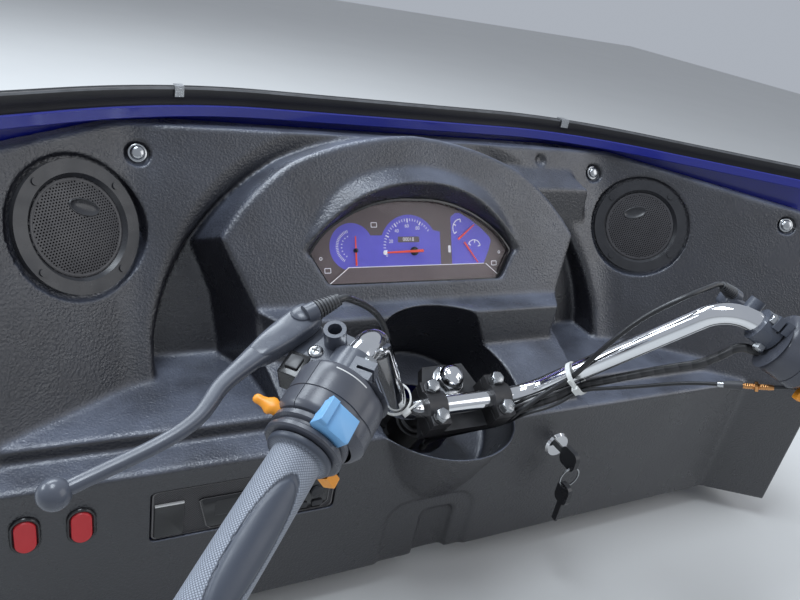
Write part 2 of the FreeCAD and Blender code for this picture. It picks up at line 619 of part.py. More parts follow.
stud_room = cyl(ax(0, 0, YOKE_TOP - 1), AXIS, STUD_R + FREE, STUD_TOP - YOKE_TOP + 1.5)
save("stem_nut", nut.cut(stud_room).removeSplitter())
for name, sx in (("clamp_cap_l", -1), ("clamp_cap_r", 1)):
    cap = clamp_block(sx, BAR_H + SPLIT, BAR_H + SPLIT + 9)
    hump = cyl(ax(sx * CLAMP_X - CLAMP_HALF_W, BAR_U, BAR_H), X, 17, 2 * CLAMP_HALF_W)
    cap = cap.fuse(hump.cut(half(ax(0, 0, BAR_H + SPLIT), AXIS * -1))).cut(bar_cut)
    for du in (-16.8, 16.8):
        cap = cap.fuse(cyl(ax(sx * CLAMP_X, BAR_U + du, 7), AXIS, 6.8, 10))
    save(name, cap.removeSplitter())

# Handlebar.
BAR_X = 80.3
BEND_V = V(193.3, -427, 351.5)
GRIP_D = V(0.678, -0.635, -0.37).normalize()
BAR_L = 236.0
BAR_BEND = 45.0
S = V(0, 0, 1).cross(GRIP_D).normalize()
W = GRIP_D.cross(S).normalize()
bar0 = ax(BAR_X, BAR_U, BAR_H)
RISE = (BEND_V - bar0).normalize()
NEAR = (V(-1, -1, 0) - RISE * V(-1, -1, 0).dot(RISE)).normalize()
UNDER = RISE.cross(NEAR).normalize()
half_pts = [bar0, BEND_V, BEND_V + GRIP_D * BAR_L]
flip = [V(-p.x, p.y, p.z) for p in half_pts[::-1]]
bar_line = flip + half_pts
save("handlebar", pipe(bar_line, TUBE_R - 0.1, BAR_BEND, hollow=TUBE_R - 2.4))
bar_room = pipe(bar_line, TUBE_R, BAR_BEND)


def along(t, side=0.0, up=0.0):
    """Point by the right grip: t along the bar, side forward of it, up above it."""
    return BEND_V + GRIP_D * t + S * side + W * up


def riser(t, under=0.0, near=0.0):
    """Point by the rising tube: under it, and on the driver's side of it."""
    return bar0 + RISE * t + UNDER * under + NEAR * near


def block(t0, t1, s0, s1, u0, u1):
    return plate([along(t0, s0, u0), along(t1, s0, u0), along(t1, s1, u0), along(t0, s1, u0)], W * (u1 - u0))


# Grips and the housings beside them.
HOUSE_T, HOUSE_R, LIP_T, LIP_R, GRIP_T, GRIP_R = 52.0, 29.0, 94.0, 27.0, 108.0, 17.5
bore = cyl(along(10), GRIP_D, TUBE_R, 240)
GRIP_END = BAR_L + 2.0
sleeve = fuse([cyl(along(GRIP_T), GRIP_D, GRIP_R, GRIP_END - GRIP_T), cyl(along(GRIP_T), GRIP_D, 22, 5)])
both("grip", sleeve.cut(cyl(along(GRIP_T - 1), GRIP_D, TUBE_R, BAR_L - GRIP_T + 1.1)).removeSplitter())
HOUSE = [(0, HOUSE_R - 4), (4, HOUSE_R), (LIP_T - HOUSE_T - 4, HOUSE_R), (LIP_T - HOUSE_T, HOUSE_R - 4)]
shell = turned(along(HOUSE_T), GRIP_D, HOUSE)
collars = [cyl(along(t), GRIP_D, LIP_R, 6.2) for t in (LIP_T - 0.5, LIP_T + 7.8)]
neck = cyl(along(LIP_T), GRIP_D, LIP_R - 3, GRIP_T - LIP_T)
bulge = cyl(along(HOUSE_T + 5, -9, -6), GRIP_D, HOUSE_R - 4, LIP_T - HOUSE_T - 10)
house = fuse([shell, bulge, neck] + collars).cut(bore)
save("throttle_housing", house.removeSplitter())
save("switch_housing", mirror(house.removeSplitter()))

# Small switches on the housings: node, left side, t from and to, angle round the bar, width, out from and to.
SWITCHES = (("dip_switch", True, 82, 102, 128, 24, 20, 33),
            ("turn_switch", True, 88, 98, 37, 9, 20, 43),
            ("horn_switch", True, 100, 108, 240, 9, 20, 38),
            ("stop_switch", False, 100, 108, 240, 9, 20, 38))
for name, left, t0, t1, deg, width, r0, r1 in SWITCHES:
    a = math.radians(deg)
    out = S * math.cos(a) + W * math.sin(a)
    side = W * math.cos(a) - S * math.sin(a)
    corner = along(t0) + out * r0 - side * (width / 2)
    step = GRIP_D * (t1 - t0)
    key = plate([corner, corner + step, corner + step + side * width, corner + side * width], out * (r1 - r0))
    key = soften(key, 2, lambda p, d, n: (p - along(t0)).dot(out) > r1 - 0.1).cut(house)
    save(name, mirror(key) if left else key)

# Levers: a flat root on the pivot and a blade that ends in a ball.
PIVOT = V(243, -407, 355)
BALL = V(409, -491, 313)
LEV_L = (BALL - PIVOT).normalize()
LEV_W = (S - LEV_L * S.dot(LEV_L)).normalize()
LEV_N = LEV_L.cross(LEV_W)
ROOT_T = 12.0
BLADE_N = -5.0           # middle of the blade below the root's top
BALL_FORM = [(-9.3, 3), (-6.7, 6.8), (-2.5, 9.3), (2.5, 9.3), (6.7, 6.8), (9.3, 2.5)]
ROOT = [(-18, -7), (-8, -11), (11, -11.5), (44, -10.5), (44, 6), (26, 11), (-4, 14.5), (-18, 14.5)]
# Blade stations: along, across, half width, half thickness.
BLADE = [(36, -1, 9, 4.8), (50, -2.8, 7.4, 4.8), (66, -4, 6, 4.6), (80, -7, 5.4, 4.4),
         (92, -13, 5.4, 4.3), (104, -18.6, 4.6, 4.2), (120, -19.2, 4.2, 4), (140, -16.2, 4, 3.9),
         (164, -10.8, 4, 3.9), (187, -6, 4, 3.9)]


def lever_pt(l, w, n=0.0):
    return PIVOT + LEV_L * l + LEV_W * w + LEV_N * n


def station(l, w, a, b):
    """Oval section of the blade."""
    ellipse = Part.Ellipse(lever_pt(l, w + a, BLADE_N), lever_pt(l, w, BLADE_N + b), lever_pt(l, w, BLADE_N))
    return Part.Wire([ellipse.toShape()])


root = plate([lever_pt(l, w) for l, w in ROOT], LEV_N * -ROOT_T)
root = soften(root, 2.5, lambda p, d, n: (p - PIVOT).dot(LEV_N) > -0.1)
lever_blade = Part.makeLoft([station(*s) for s in BLADE], True, True)
knob = turned(lever_pt(-6, 3, -1), LEV_N, [(0, 8), (2.5, 7.6), (4, 5.5)])
lever = fuse([root, lever_blade, turned(lever_pt(189, -5, BLADE_N), LEV_L, BALL_FORM), knob])


def rolled(shape):
    """The right-hand controls are turned forward round the bar."""
    out = shape.copy()
    out.rotate(BEND_V, GRIP_D, BRAKE_ROLL)
    return out


save("brake_lever", rolled(lever))
save("clutch_lever", mirror(lever))

# Perches that hold the levers, with the mirror socket and the brake switch.
PERCH_T, PERCH_W, PERCH_R = 30.0, 20.0, 17.0
ring = cyl(along(PERCH_T), GRIP_D, PERCH_R, PERCH_W)
ARM = [(30, 0), (50, 0), (50, 14), (44, 26), (62, 28), (62, 42), (40, 44), (36, 64), (10, 64), (3, 48),
       (12, 30), (14, 8)]
ARM_T = 15.0
SOCKET_R, SOCKET_BORE = 8.0, 5.0
arm = plate([along(t, s, -9) for t, s in ARM], W * ARM_T)
socket = cyl(along(23.2, 18.5, -4), W, SOCKET_R, 24)
ears = block(36, 52, -20, -4, 4, 17)
perch = fuse([ring, arm, socket, ears])
boot_at = along(9.3, 43.5, 12)
leave = along(-6.6, 34, 12)
nose_dir = (leave - boot_at).normalize()
perch = fuse([perch, cyl(boot_at - nose_dir * 6, nose_dir, 7, 9)])
over = [(-26, -20), (60, -20), (60, 30), (-26, 30)]
perch = perch.cut(plate([lever_pt(l, w, -ROOT_T - 0.15) for l, w in over], LEV_N * 40))
perch = fuse([perch, socket])
perch = perch.cut(cyl(along(23.2, 18.5, 6), W, SOCKET_BORE, 20)).cut(block(42.5, 45, -30, -8, 2, 30))
perch = perch.cut(cyl(along(HOUSE_T - FIT), GRIP_D, HOUSE_R + FIT, 30))
save("lever_perch_r", rolled(perch).cut(bar_room).removeSplitter())
save("lever_perch_l", mirror(perch.cut(bar_room).removeSplitter()))

# Cables, held by the bar on their way into the bowl.
CABLE_R, LOOM_R, THIN_R = 2.8, 4.5, 2.0
FERRULE_L, FERRULE_T = 12.0, 1.5


def roll_pt(p):
    return BEND_V + FreeCAD.Rotation(GRIP_D, BRAKE_ROLL).multVec(p - BEND_V)


def cable(name, points, r, flip=False, boot=None, clear_of=None):
    bends = cord_bends(points)
    tube = pipe(points, r, bends)
    print(name, "arc radii", [round(b) for b in bends])
    tip = (points[-1] - points[-2]).normalize()
    tube = tube.fuse(cyl(points[-1] - tip * FERRULE_L, tip, r + FERRULE_T, FERRULE_L))
    if boot:
        tube = tube.fuse(boot).cut(clear_of)
    tube = tube.cut(house)
    save(name, mirror(tube.removeSplitter()) if flip else tube.removeSplitter())


boot = Part.makeCone(6.5, 4.5, 19, boot_at + nose_dir * 3.1, nose_dir)
into_bar = [boot_at + nose_dir * 14, leave + nose_dir * 8]
brake_way = [roll_pt(p) for p in into_bar]
brake_way += [riser(205, -29, 4), riser(160, -29, 9), riser(112, -18, 13), riser(64, -1, 14.2),
              riser(30, 2, 15.5), ax(58, -58, 6), ax(58, -56, -30), ax(44, -46, -62),
              ax(20, -36, -98), ax(8, -32, -120), ax(8, -32, -138)]
cable("brake_cable", brake_way, CABLE_R, boot=rolled(boot), clear_of=rolled(lever))
clutch_way = into_bar + [riser(197, -33, -25), riser(150, -42, -21), riser(110, -38, -16),
                         riser(72, -20, -12), riser(40, -8, -10), riser(12, -20, -12),
                         ax(56, 10, -24), ax(36, 18, -75), ax(20, 22, -118), ax(20, 22, -138)]
cable("clutch_cable", clutch_way, CABLE_R, flip=True, boot=boot, clear_of=lever)
loom_way = [along(HOUSE_T + 1, -2, -21), along(34, -2, -27), riser(190, 45, 2), riser(146, 33, 2),
            riser(104, 24.5, 1), riser(64, 16.4, 1.5), riser(34, 13, 12.5), ax(68, -54, 4),
            ax(62, -46, -40), ax(42, -26, -80), ax(26, -14, -116), ax(26, -14, -138)]
cable("switch_loom", loom_way, LOOM_R)
throttle_way = [along(98, -11, -26), along(80, -9, -43), riser(166, 57, 4), riser(112, 37, 7),
                riser(64, 17, 9.5), riser(32, 19, 18.5), ax(62, -62, 8), ax(64, -56, -30),
                ax(50, -42, -64), ax(24, -27, -104), ax(18, -24, -122), ax(18, -24, -138)]
cable("throttle_cable", throttle_way, THIN_R)
TIE_W, TIE_T = 5.0, 1.6


def tie(name, t, under, near, r, head_turn, flip=False):
    """Band round the tube and its cables, with its lock."""
    p = riser(t, under, near)
    band = cyl(p, RISE, r + TIE_T, TIE_W).cut(cyl(p - RISE, RISE, r, TIE_W + 2))
    out = UNDER * math.cos(head_turn) + NEAR * math.sin(head_turn)
    side = RISE.cross(out)
    c = p + out * (r + 0.6) - side * 4 - RISE
    lock_w = RISE * (TIE_W + 2)
    lock = plate([c, c + side * 8, c + side * 8 + lock_w, c + lock_w], out * 5)
    low, high = c + out * 1.5, c + out * 3
    tail = plate([low + RISE * 2, low + RISE * TIE_W, high + RISE * TIE_W, high + RISE * 2], side * -12)
    band = fuse([band, lock, tail])
    save(name, mirror(band) if flip else band)


tie("cable_tie_r", 62, 5.3, 3.2, 17.35, math.radians(75))
tie("cable_tie_l", 38, -2.4, -2.1, 15, math.radians(60), flip=True)
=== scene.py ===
"""Looks of a small vehicle's dashboard with its handlebar steering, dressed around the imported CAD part."""

import math

import bmesh
import bpy
from mathutils import Matrix, Quaternion, Vector


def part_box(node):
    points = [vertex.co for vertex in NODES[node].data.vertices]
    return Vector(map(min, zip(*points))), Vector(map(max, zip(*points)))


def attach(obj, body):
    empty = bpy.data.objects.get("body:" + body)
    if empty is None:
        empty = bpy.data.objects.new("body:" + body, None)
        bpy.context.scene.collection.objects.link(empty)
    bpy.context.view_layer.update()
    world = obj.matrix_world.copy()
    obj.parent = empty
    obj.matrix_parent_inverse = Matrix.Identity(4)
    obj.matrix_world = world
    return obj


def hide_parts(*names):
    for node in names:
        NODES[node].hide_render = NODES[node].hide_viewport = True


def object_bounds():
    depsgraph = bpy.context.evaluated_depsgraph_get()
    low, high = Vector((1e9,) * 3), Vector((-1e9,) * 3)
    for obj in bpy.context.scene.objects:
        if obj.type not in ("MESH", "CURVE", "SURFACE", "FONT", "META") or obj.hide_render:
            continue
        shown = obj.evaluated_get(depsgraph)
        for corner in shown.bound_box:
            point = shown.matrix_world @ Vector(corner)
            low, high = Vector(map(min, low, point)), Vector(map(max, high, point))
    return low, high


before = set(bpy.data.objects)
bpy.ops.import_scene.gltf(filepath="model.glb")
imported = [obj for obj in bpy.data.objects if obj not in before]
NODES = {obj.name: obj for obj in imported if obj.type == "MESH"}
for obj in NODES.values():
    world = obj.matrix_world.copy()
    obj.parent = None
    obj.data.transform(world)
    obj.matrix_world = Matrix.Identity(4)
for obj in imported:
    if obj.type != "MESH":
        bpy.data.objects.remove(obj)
cad_box = [list(corner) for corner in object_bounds()]
scene = bpy.context.scene
MM = 0.001

# Directions that the part is built on: across, up, and down and into the leaning instrument face.
TILT = math.radians(28)
RAKE = math.radians(29)
X_AXIS = Vector((1, 0, 0))
Z_AXIS = Vector((0, 0, 1))
DOWN_AXIS = Vector((0, -math.sin(TILT), -math.cos(TILT)))
DEEP_AXIS = Vector((0, math.cos(TILT), -math.sin(TILT)))
WALL_NORMAL = Vector((0, -0.8893, 0.4573))
SPEAKER_NORMAL = Vector((-0.49, -0.7752, 0.3987)).normalized()

# Camera of the photograph: its place in metres, its right and down along X_AXIS, DOWN_AXIS and DEEP_AXIS.
CAM_AT = Vector((-0.41, -0.82, 0.6))
CAM_RIGHT = (0.88708694, 0.04376989, -0.45952253)
CAM_DOWN = (-0.0492812, 0.99878494, 0)
SENSOR_MM = 36.0
LENS_MM = 31.84

# Right half of the handlebar: foot and bend of its riser, direction of its grip, and the brake side's roll.
BAR_AT = Vector((80.3, -307, 178.1))
BEND_AT = Vector((193.3, -427, 351.5))
TO_DRIVER = Vector((-1, -1, 0))
GRIP_DIR = Vector((0.678, -0.635, -0.37)).normalized()
SIDE_DIR = Z_AXIS.cross(GRIP_DIR).normalized()
OVER_DIR = GRIP_DIR.cross(SIDE_DIR).normalized()
BRAKE_ROLL = -17.0
TUBE_R = 11.1

# Lever: pivot and ball, then its blade as along, across, half width and half thickness, and its root.
PIVOT = Vector((243, -407, 355))
BALL = Vector((409, -491, 313))
BALL_AT, BALL_R = (190.5, -5, -5), 9.3
BLADE_LOW = -5
BLADE = [(30, 0, 10, 5.6), (44, -1.6, 8.4, 5.2), (58, -3.4, 6.9, 4.8), (70, -5, 6.1, 4.6),
         (80, -7.4, 5.6, 4.4), (92, -13, 5.4, 4.3), (104, -17.6, 4.9, 4.2), (120, -18.6, 4.5, 4.1),
         (140, -16, 4.3, 4), (164, -10.8, 4.3, 4), (185, -6.4, 4.3, 4)]
ROOT = [(-16, -7), (-8, -10.6), (11, -11.4), (42, -9.8), (46, -5), (46, 3), (42, 6), (26, 10.6), (10, 13),
        (-4, 14), (-16, 13.6), (-18, 10), (-18, -4)]
ROOT_T = 12.0

# Instrument: depths behind the panel's face, then what is printed, from its middle with y down.
FACE_AT = (0, -170.61, 254.97)
DIAL_DEEP = 15.0
PRINT_DEEP = DIAL_DEEP + 0.5
LAYER = 0.12
GLASS_CUT_DEEP = 7.8
GLASS_CUT_MARGIN = 2.6
SPEEDO_AT, SPEEDO_R, SPEEDO_FROM, SPEEDO_SWEEP = (-6, -43), 35, -6, 148.0
SPEEDO_NUMBERS = (("20", 17), ("40", 50), ("60", 84), ("80", 117))
NUMBER_SIZE = 5.8
FUEL_AT, FUEL_R, FUEL_FROM, FUEL_SWEEP = (-81.7, -44.9), 20, -58, 132.0
BLUE_DISCS = ((FUEL_AT, 27.6), (SPEEDO_AT, 39.5))
BLUE_FIELDS = ([(-84, -20), (-84, -58), (-40, -58), (0, -70), (37, -62), (37, -20)],
               [(53, -20), (53, -80), (60, -85), (67, -85), (82, -77), (98, -66), (110, -55), (112, -50),
                (108, -38), (99, -20)])
# Small gauges: centre, radius, first and last angle.
SMALL_GAUGES = (((67.5, -66), 11.5, -35, 88), ((86.5, -42), 9.5, 30, 165))
ARC_STEPS = 12
DIAL_SCREWS = ((-120.4, -32), (123.9, -35.4))
SIGNS, SIGN_HALF = ((-112.6, -18.2), (115.4, -21.5), (-52.4, -70.2)), (3.6, 2.6)
CORNERS = ((-1, -1), (1, -1), (1, 1), (-1, 1))
# Needles: tail, tip and the width at each, then their section as share of the half width and height.
NEEDLES = (((-77.4, -23), (-77.4, -57), 2.6, 1.5), ((12, -39), (-40, -37.2), 3.4, 1.8),
           ((62, -52), (86, -70.2), 2.6, 1.3), ((70.8, -48.5), (89.8, -23), 2.6, 1.3))
NEEDLE_SECTION = ((-1, 1.6), (-0.5, 2.3), (0.5, 2.3), (1, 1.6))
# Sill under the dial: its upper corners, its lower ones, the ends of its front, and how far each is raised.
SILL_TOP, SILL_LOW = ((-88, -21), (100, -21.5)), ((-112, -3), (123, -3))
SILL_FRONT, SILL_FRONT_Y = (-106, 118), -2.6
SILL_RISE, SILL_FRONT_RISE = 3.5, 3.8

# Loudspeaker grille: a hexagon pattern has rows 0.866 of a pitch apart and cells of a pitch over 1.732.
GRILLE_R = 47.8
GRILLE_BASE = 2.0
GRILLE_RISE = 2.6
GRILLE_RIM = ((-1.4, -0.2), (0.4, 0), (0.9, -1.2), (0.5, -3), (-1.4, -3))
HOLE_PITCH = 3.1
HOLE_R = 0.95
HOLE_DEEP = 1.2
ROW_SHARE, CELL_SHARE = 0.866, 1.732
PLAIN_EDGE = 3.4
BADGE_AT, BADGE_SIZE, BADGE_TURN = (11, 17.5), (15.5, 7.6), math.radians(-24)
BADGE_MARGIN = 0.6

# Fascia, dash bolts as they reach in and out from their seat, and the clamp along the steering axis.
FASCIA_Y = -300
RADIO_DEEP = 158
BOLT_IN, BOLT_OUT = 12, 6.6
AXIS_AT = (0, -277, 197)
YOKE_TOP = -20.0
CLAMP_X, BAR_U, CLAMP_BOLT_U, CLAMP_TOP = 41, -35.4, 16.8, 8.0

# Housings and grips, along the bar from its bend. Stations are from each end: t, less radius, less bulge.
HOUSE_T0, HOUSE_T1, HOUSE_R = 52, 94, 29.0
HOUSE_START = ((0, 6, -1), (0.6, 3.2, 4), (2.2, 1.2, 2), (5, 0, 0.4), (12, 0, 0), (24, 0, 0),
               (24.4, 0.7, 0.7), (25, 0.7, 0.7), (25.4, 0, 0))
HOUSE_END = ((-6, 0, 0), (-3, 0.5, 2), (-1, 2, 4), (0, 5, 6))
HOUSE_LIP = ((-0.2, 20), (-0.1, 25.5), (1.2, 26.9), (4.2, 27), (5.4, 25.8), (6, 24.2), (7.6, 24),
             (8.6, 25.2), (9.8, 26.8), (12.4, 26.9), (13.6, 25.6), (13.9, 20), (13.9, TUBE_R))
BULGE_AT, BULGE_R = (-9, -6), 25.0
ROCKER_DEG, TOGGLE_DEG = 128, 27.0
SEAM_DEG, SEAM_DEEP = 66, 0.9
GRIP_T0, GRIP_T1, GRIP_R = 108, 238, 17.5
GRIP_AROUND, GRIP_ALONG = 144, 120
# Smooth pad of the grip: middle, half length and half turn, then its rim and groove as share of the oval.
PAD_TURN, PAD_T, PAD_HALF_T, PAD_HALF_TURN = math.radians(127), 178, 46, math.radians(42)
PAD_RIM, PAD_GROOVE = 0.96, 1.06

# Cables at the controls: boot and the next point of the cable, and both ends of the throttle's first run.
BOOT_AT, BOOT_TO = Vector((43.5, 12, 9.3)), Vector((34, 12, -6.6))
THROTTLE_FROM, THROTTLE_TO = (-9, -43, 80), (57, 4, 166)

# Screen base, as distance behind its front line and height. The line folds back past FLAT_HALF.
TOE, FLAT_HALF, EASE, CRISP_EASE = 0.632, 270, 110, 1.0
RAIL = ((0, 0), (33, 0), (34, 1), (34, 11), (33, 12), (31, 12), (31, 3), (3, 3), (3, 12), (0, 12))
SEAL = ((3, 3.2), (19, 3.2), (19.8, 7), (18.6, 11), (18.4, 17), (19.6, 21), (18.8, 25.4), (16, 27),
        (13.8, 25), (13.2, 17), (8.6, 17), (8.2, 25), (6, 27), (3.8, 25.4), (3, 20))
# Grey strip in the seal's glass slot: a painted highlight for the light line of the glass edge.
GLASS_LINE_HIGHLIGHT = ((8.9, 17), (12.9, 17), (12.7, 25.6), (11, 26.4), (9.1, 25.6))
CLIP = ((19.9, 18), (21.4, 18), (21.4, 28), (20.4, 29.2), (8, 29.2), (8, 27.4), (19.9, 27.2))
LINE_STEPS, CLIP_HALF, CLIP_STEPS = 120, 5, 4

# Softening of the moulding, in metres, and the millimetres round fitted openings that stay crisp.
VOXEL = 0.0021
FATTEN = 0.0008
SOFT_ROUNDS = 20
DASH_FACES = 88000
SPEAKER_REACH, BOLT_REACH, LOCK_REACH = 78, 22, 34.0
FASCIA_BACK_Y = -285
SOFT_REACH, LEAST_SOFT = 12, 0.12

# Stage: lamps as name, place, aim, size in metres, watts and colour.
FLOOR_HALF, FLOOR_DROP = 8, 0.001
WORLD_COLOUR, WORLD_LEVEL = (0.78, 0.84, 0.94, 1), 0.52
SKY = (0.84, 0.92, 1)
WHITE = (1, 1, 1)
LAMPS = (("window", (-0.7, 2.3, 2.7), (0, -0.15, 0.2), (2.6, 1.1), 80, SKY),
         ("side_sky", (-2.4, 0.9, 1.6), (-0.1, -0.15, 0.25), (1.4, 0.6), 26, SKY),
         ("roof_sky", (-0.6, -0.1, 2.6), (0, -0.2, 0.2), (1.2, 0.8), 34, SKY),
         ("cabin_right", (1.7, -1.4, 1.3), (0, -0.2, 0.2), (1.6, 1.6), 12, WHITE))


class Place:
    """Local frame given in millimetres of the part. Calling it gives a point in metres."""

    def __init__(self, at, a, b, c):
        self.at, self.a, self.b, self.c = Vector(at), Vector(a), Vector(b), Vector(c)

    def __call__(self, x, y, z=0):
        return (self.at + self.a * x + self.b * y + self.c * z) * MM

    def flip(self):
        """The same frame on the other side of the part."""
        return Place(*[Vector((-v.x, v.y, v.z)) for v in (self.at, self.a, self.b, self.c)])

    def roll(self, at, axis, degrees):
        """The frame turned about an axis through a point."""
        turn = Quaternion(axis, math.radians(degrees))
        return Place(turn @ (self.at - at) + at, turn @ self.a, turn @ self.b, turn @ self.c)

    def shift(self, x, y, z=0):
        """The same directions from another origin."""
        return Place(self.at + self.a * x + self.b * y + self.c * z, self.a, self.b, self.c)

    def facing(self, direction):
        """A frame at this origin whose third axis is a local direction."""
        c = (self.a * direction[0] + self.b * direction[1] + self.c * direction[2]).normalized()
        across = self.c if abs(c.dot(self.b)) > 0.9 else self.b
        a = (across - c * across.dot(c)).normalized()
        return Place(self.at, a, c.cross(a), c)


def box_of(node):
    """Low and high corner of a CAD node in millimetres."""
    return [Vector(corner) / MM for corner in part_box(node)]


def centre_of(node):
    low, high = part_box(node)
    return (Vector(low) + Vector(high)) / (2 * MM)


def front_place(y):
    """Upright plane at y that faces the driver."""
    return Place((0, y, 0), X_AXIS, Z_AXIS, (0, -1, 0))


def plate_place(at, normal):
    """Frame of a leaning plate, its second axis as upright as the plate allows."""
    side = normal.cross(Z_AXIS).normalized()
    return Place(at, side, side.cross(normal), normal)


def lever_place():
    along = (BALL - PIVOT).normalized()
    side = (SIDE_DIR - along * SIDE_DIR.dot(along)).normalized()
    return Place(PIVOT, along, side, along.cross(side))


def riser_place():
    up = (BEND_AT - BAR_AT).normalized()
    near = (TO_DRIVER - up * TO_DRIVER.dot(up)).normalized()
    return Place(BAR_AT, up.cross(near), near, up)


face = Place(FACE_AT, X_AXIS, DOWN_AXIS, DEEP_AXIS)
axis_place = Place(AXIS_AT, X_AXIS, (0, math.cos(RAKE), math.sin(RAKE)), (0, -math.sin(RAKE), math.cos(RAKE)))
bar_r = Place(BEND_AT, SIDE_DIR, OVER_DIR, GRIP_DIR)
bar_l = bar_r.flip()
perch_r = bar_r.roll(BEND_AT, GRIP_DIR, BRAKE_ROLL)
riser_r = riser_place()
lever_l = lever_place().flip()
lever_r = lever_place().roll(BEND_AT, GRIP_DIR, BRAKE_ROLL)
speaker_r = plate_place(centre_of("speaker_grille_r"), SPEAKER_NORMAL)

CRISP_SPOTS = [(centre_of("speaker_grille_" + side), SPEAKER_REACH) for side in "rl"]
for spot in ("inner_r", "inner_l", "outer_r", "outer_l"):
    CRISP_SPOTS.append((centre_of("dash_bolt_" + spot), BOLT_REACH))
CRISP_SPOTS.append((centre_of("key_switch"), LOCK_REACH))
CRISP_BOXES = [box_of(node) for node in ("radio", "rocker_outer", "rocker_inner")]


# Materials.

MIX_A, MIX_B, MIX_OUT = 6, 7, 2
DUST = (0.3, 0.31, 0.33, 1)


def srgb(r, g, b):
    """Linear colour of an 8-bit one."""
    out = []
    for v in (r, g, b):
        v /= 255
        out.append(v / 12.92 if v <= 0.04045 else ((v + 0.055) / 1.055) ** 2.4)
    return (*out, 1)


def scaled(colour, k):
    return (*[min(1, c * k) for c in colour[:3]], 1)


class Nodes:
    """Short hand for a material's nodes. An input is another node's output or a constant."""

    def __init__(self, name):
        self.mat = bpy.data.materials.new(name)
        self.mat.use_nodes = True
        self.tree = self.mat.node_tree
        self.shader = self.tree.nodes["Principled BSDF"]
        self.coords = self.tree.nodes.new("ShaderNodeTexCoord")

    def feed(self, node, key, value):
        if hasattr(value, "is_output"):
            self.tree.links.new(value, node.inputs[key])
        else:
            node.inputs[key].default_value = value

    def add(self, kind, inputs=None, **settings):
        node = self.tree.nodes.new(kind)
        for key, value in settings.items():
            setattr(node, key, value)
        for key, value in (inputs or {}).items():
            self.feed(node, key, value)
        return node

    def set(self, key, value):
        """Sets an input of the shader."""
        self.feed(self.shader, key, value)

    def rough(self, scale, detail, low, high):
        """Uneven gloss."""
        self.set("Roughness", self.spread(self.noise(scale, detail), low, high))

    def noise(self, scale, detail=2, roughness=0.5):
        at = self.coords.outputs["Object"]
        inputs = {"Vector": at, "Scale": scale, "Detail": detail, "Roughness": roughness}
        return self.add("ShaderNodeTexNoise", inputs).outputs["Fac"]

    def spread(self, fac, low, high, from_low=0.3, from_high=0.7):
        inputs = {"Value": fac, "From Min": from_low, "From Max": from_high, "To Min": low, "To Max": high}
        return self.add("ShaderNodeMapRange", inputs).outputs["Result"]

    def mix(self, fac, a, b):
        node = self.add("ShaderNodeMix", {"Factor": fac, MIX_A: a, MIX_B: b}, data_type="RGBA")
        return node.outputs[MIX_OUT]

    def math(self, op, a, b=0):
        return self.add("ShaderNodeMath", {0: a, 1: b}, operation=op).outputs[0]

    def split(self, vector):
        return self.add("ShaderNodeSeparateXYZ", {"Vector": vector}).outputs

    def surface(self, key):
        return self.add("ShaderNodeNewGeometry").outputs[key]

    def dust(self, most, from_up, to_up, scale, least):
        """What faces up, in patches: dust, and on the moulded black also a painted sheen."""
        up = self.spread(self.split(self.surface("Normal"))["Z"], 0, most, from_up, to_up)
        return self.math("MULTIPLY", up, self.spread(self.noise(scale, 6), least, 1))

    def bump(self, height, distance, strength=1):
        node = self.add("ShaderNodeBump", {"Height": height, "Strength": strength, "Distance": distance})
        self.set("Normal", node.outputs["Normal"])


def finish_mat(name, colour, rough, metal=0, mottle=0.12, grain=900, deep=20, coat=0, dust=0):
    """A finish with colour mottle, uneven gloss, dust, and a grain of its own, deep in micrometres."""
    n = Nodes(name)
    colour = srgb(*colour)
    base = n.mix(n.noise(30, 4), scaled(colour, 1 - mottle), scaled(colour, 1 + mottle))
    if dust:
        base = n.mix(n.dust(dust, 0.2, 1, 60, 0.4), base, DUST)
    n.set("Base Color", base)
    n.rough(45, 5, max(0.02, rough - 0.07), rough + 0.09)
    n.set("Metallic", metal)
    n.set("Coat Weight", coat)
    n.set("Coat Roughness", 0.08)
    n.bump(n.noise(grain, 3, 0.6), deep * 1e-6)
    return n.mat


def moulded_black():
    """Black moulded plastic with a leather-like grain, lighter on top with dust and a painted sky sheen, and
    a painted highlight along its crests.
    """
    n = Nodes("moulded_black")
    # Painted highlight: convex crests lightened towards pale blue.
    painted_edge_highlight = n.spread(n.surface("Pointiness"), 0, 0.36, 0.53, 0.62)
    base = n.mix(n.noise(9, 5), srgb(22, 22, 27), srgb(33, 33, 40))
    # Dust on what faces up, its pale blue tint also a painted sheen of the sky.
    base = n.mix(n.dust(0.5, 0.35, 0.95, 18, 0.35), base, srgb(146, 154, 174))
    n.set("Base Color", n.mix(painted_edge_highlight, base, srgb(168, 178, 198)))
    n.rough(14, 5, 0.22, 0.36)
    n.set("Specular IOR Level", 1)
    inputs = {"Vector": n.coords.outputs["Object"], "Scale": 430, "Randomness": 1}
    cells = n.add("ShaderNodeTexVoronoi", inputs, feature="SMOOTH_F1").outputs["Distance"]
    pits = n.math("ADD", n.math("MULTIPLY", cells, 0.8), n.math("MULTIPLY", n.noise(1300, 3), 0.5))
    n.bump(pits, 0.0007, 0.9)
    return n.mat


def chrome_mat():
    n = Nodes("chrome")
    n.set("Base Color", n.mix(n.noise(40, 4), srgb(222, 224, 228), srgb(240, 240, 240)))
    n.rough(60, 6, 0.04, 0.12)
    n.set("Metallic", 1)
    n.bump(n.noise(900, 2), 0.000004)
    return n.mat


def lens_mat():
    n = Nodes("clear_cover")
    n.set("Base Color", (0.95, 0.95, 0.97, 1))
    n.set("Transmission Weight", 1)
    n.set("IOR", 1.15)
    n.rough(120, 6, 0, 0.045)
    n.bump(n.noise(1500, 2), 0.000003)
    return n.mat


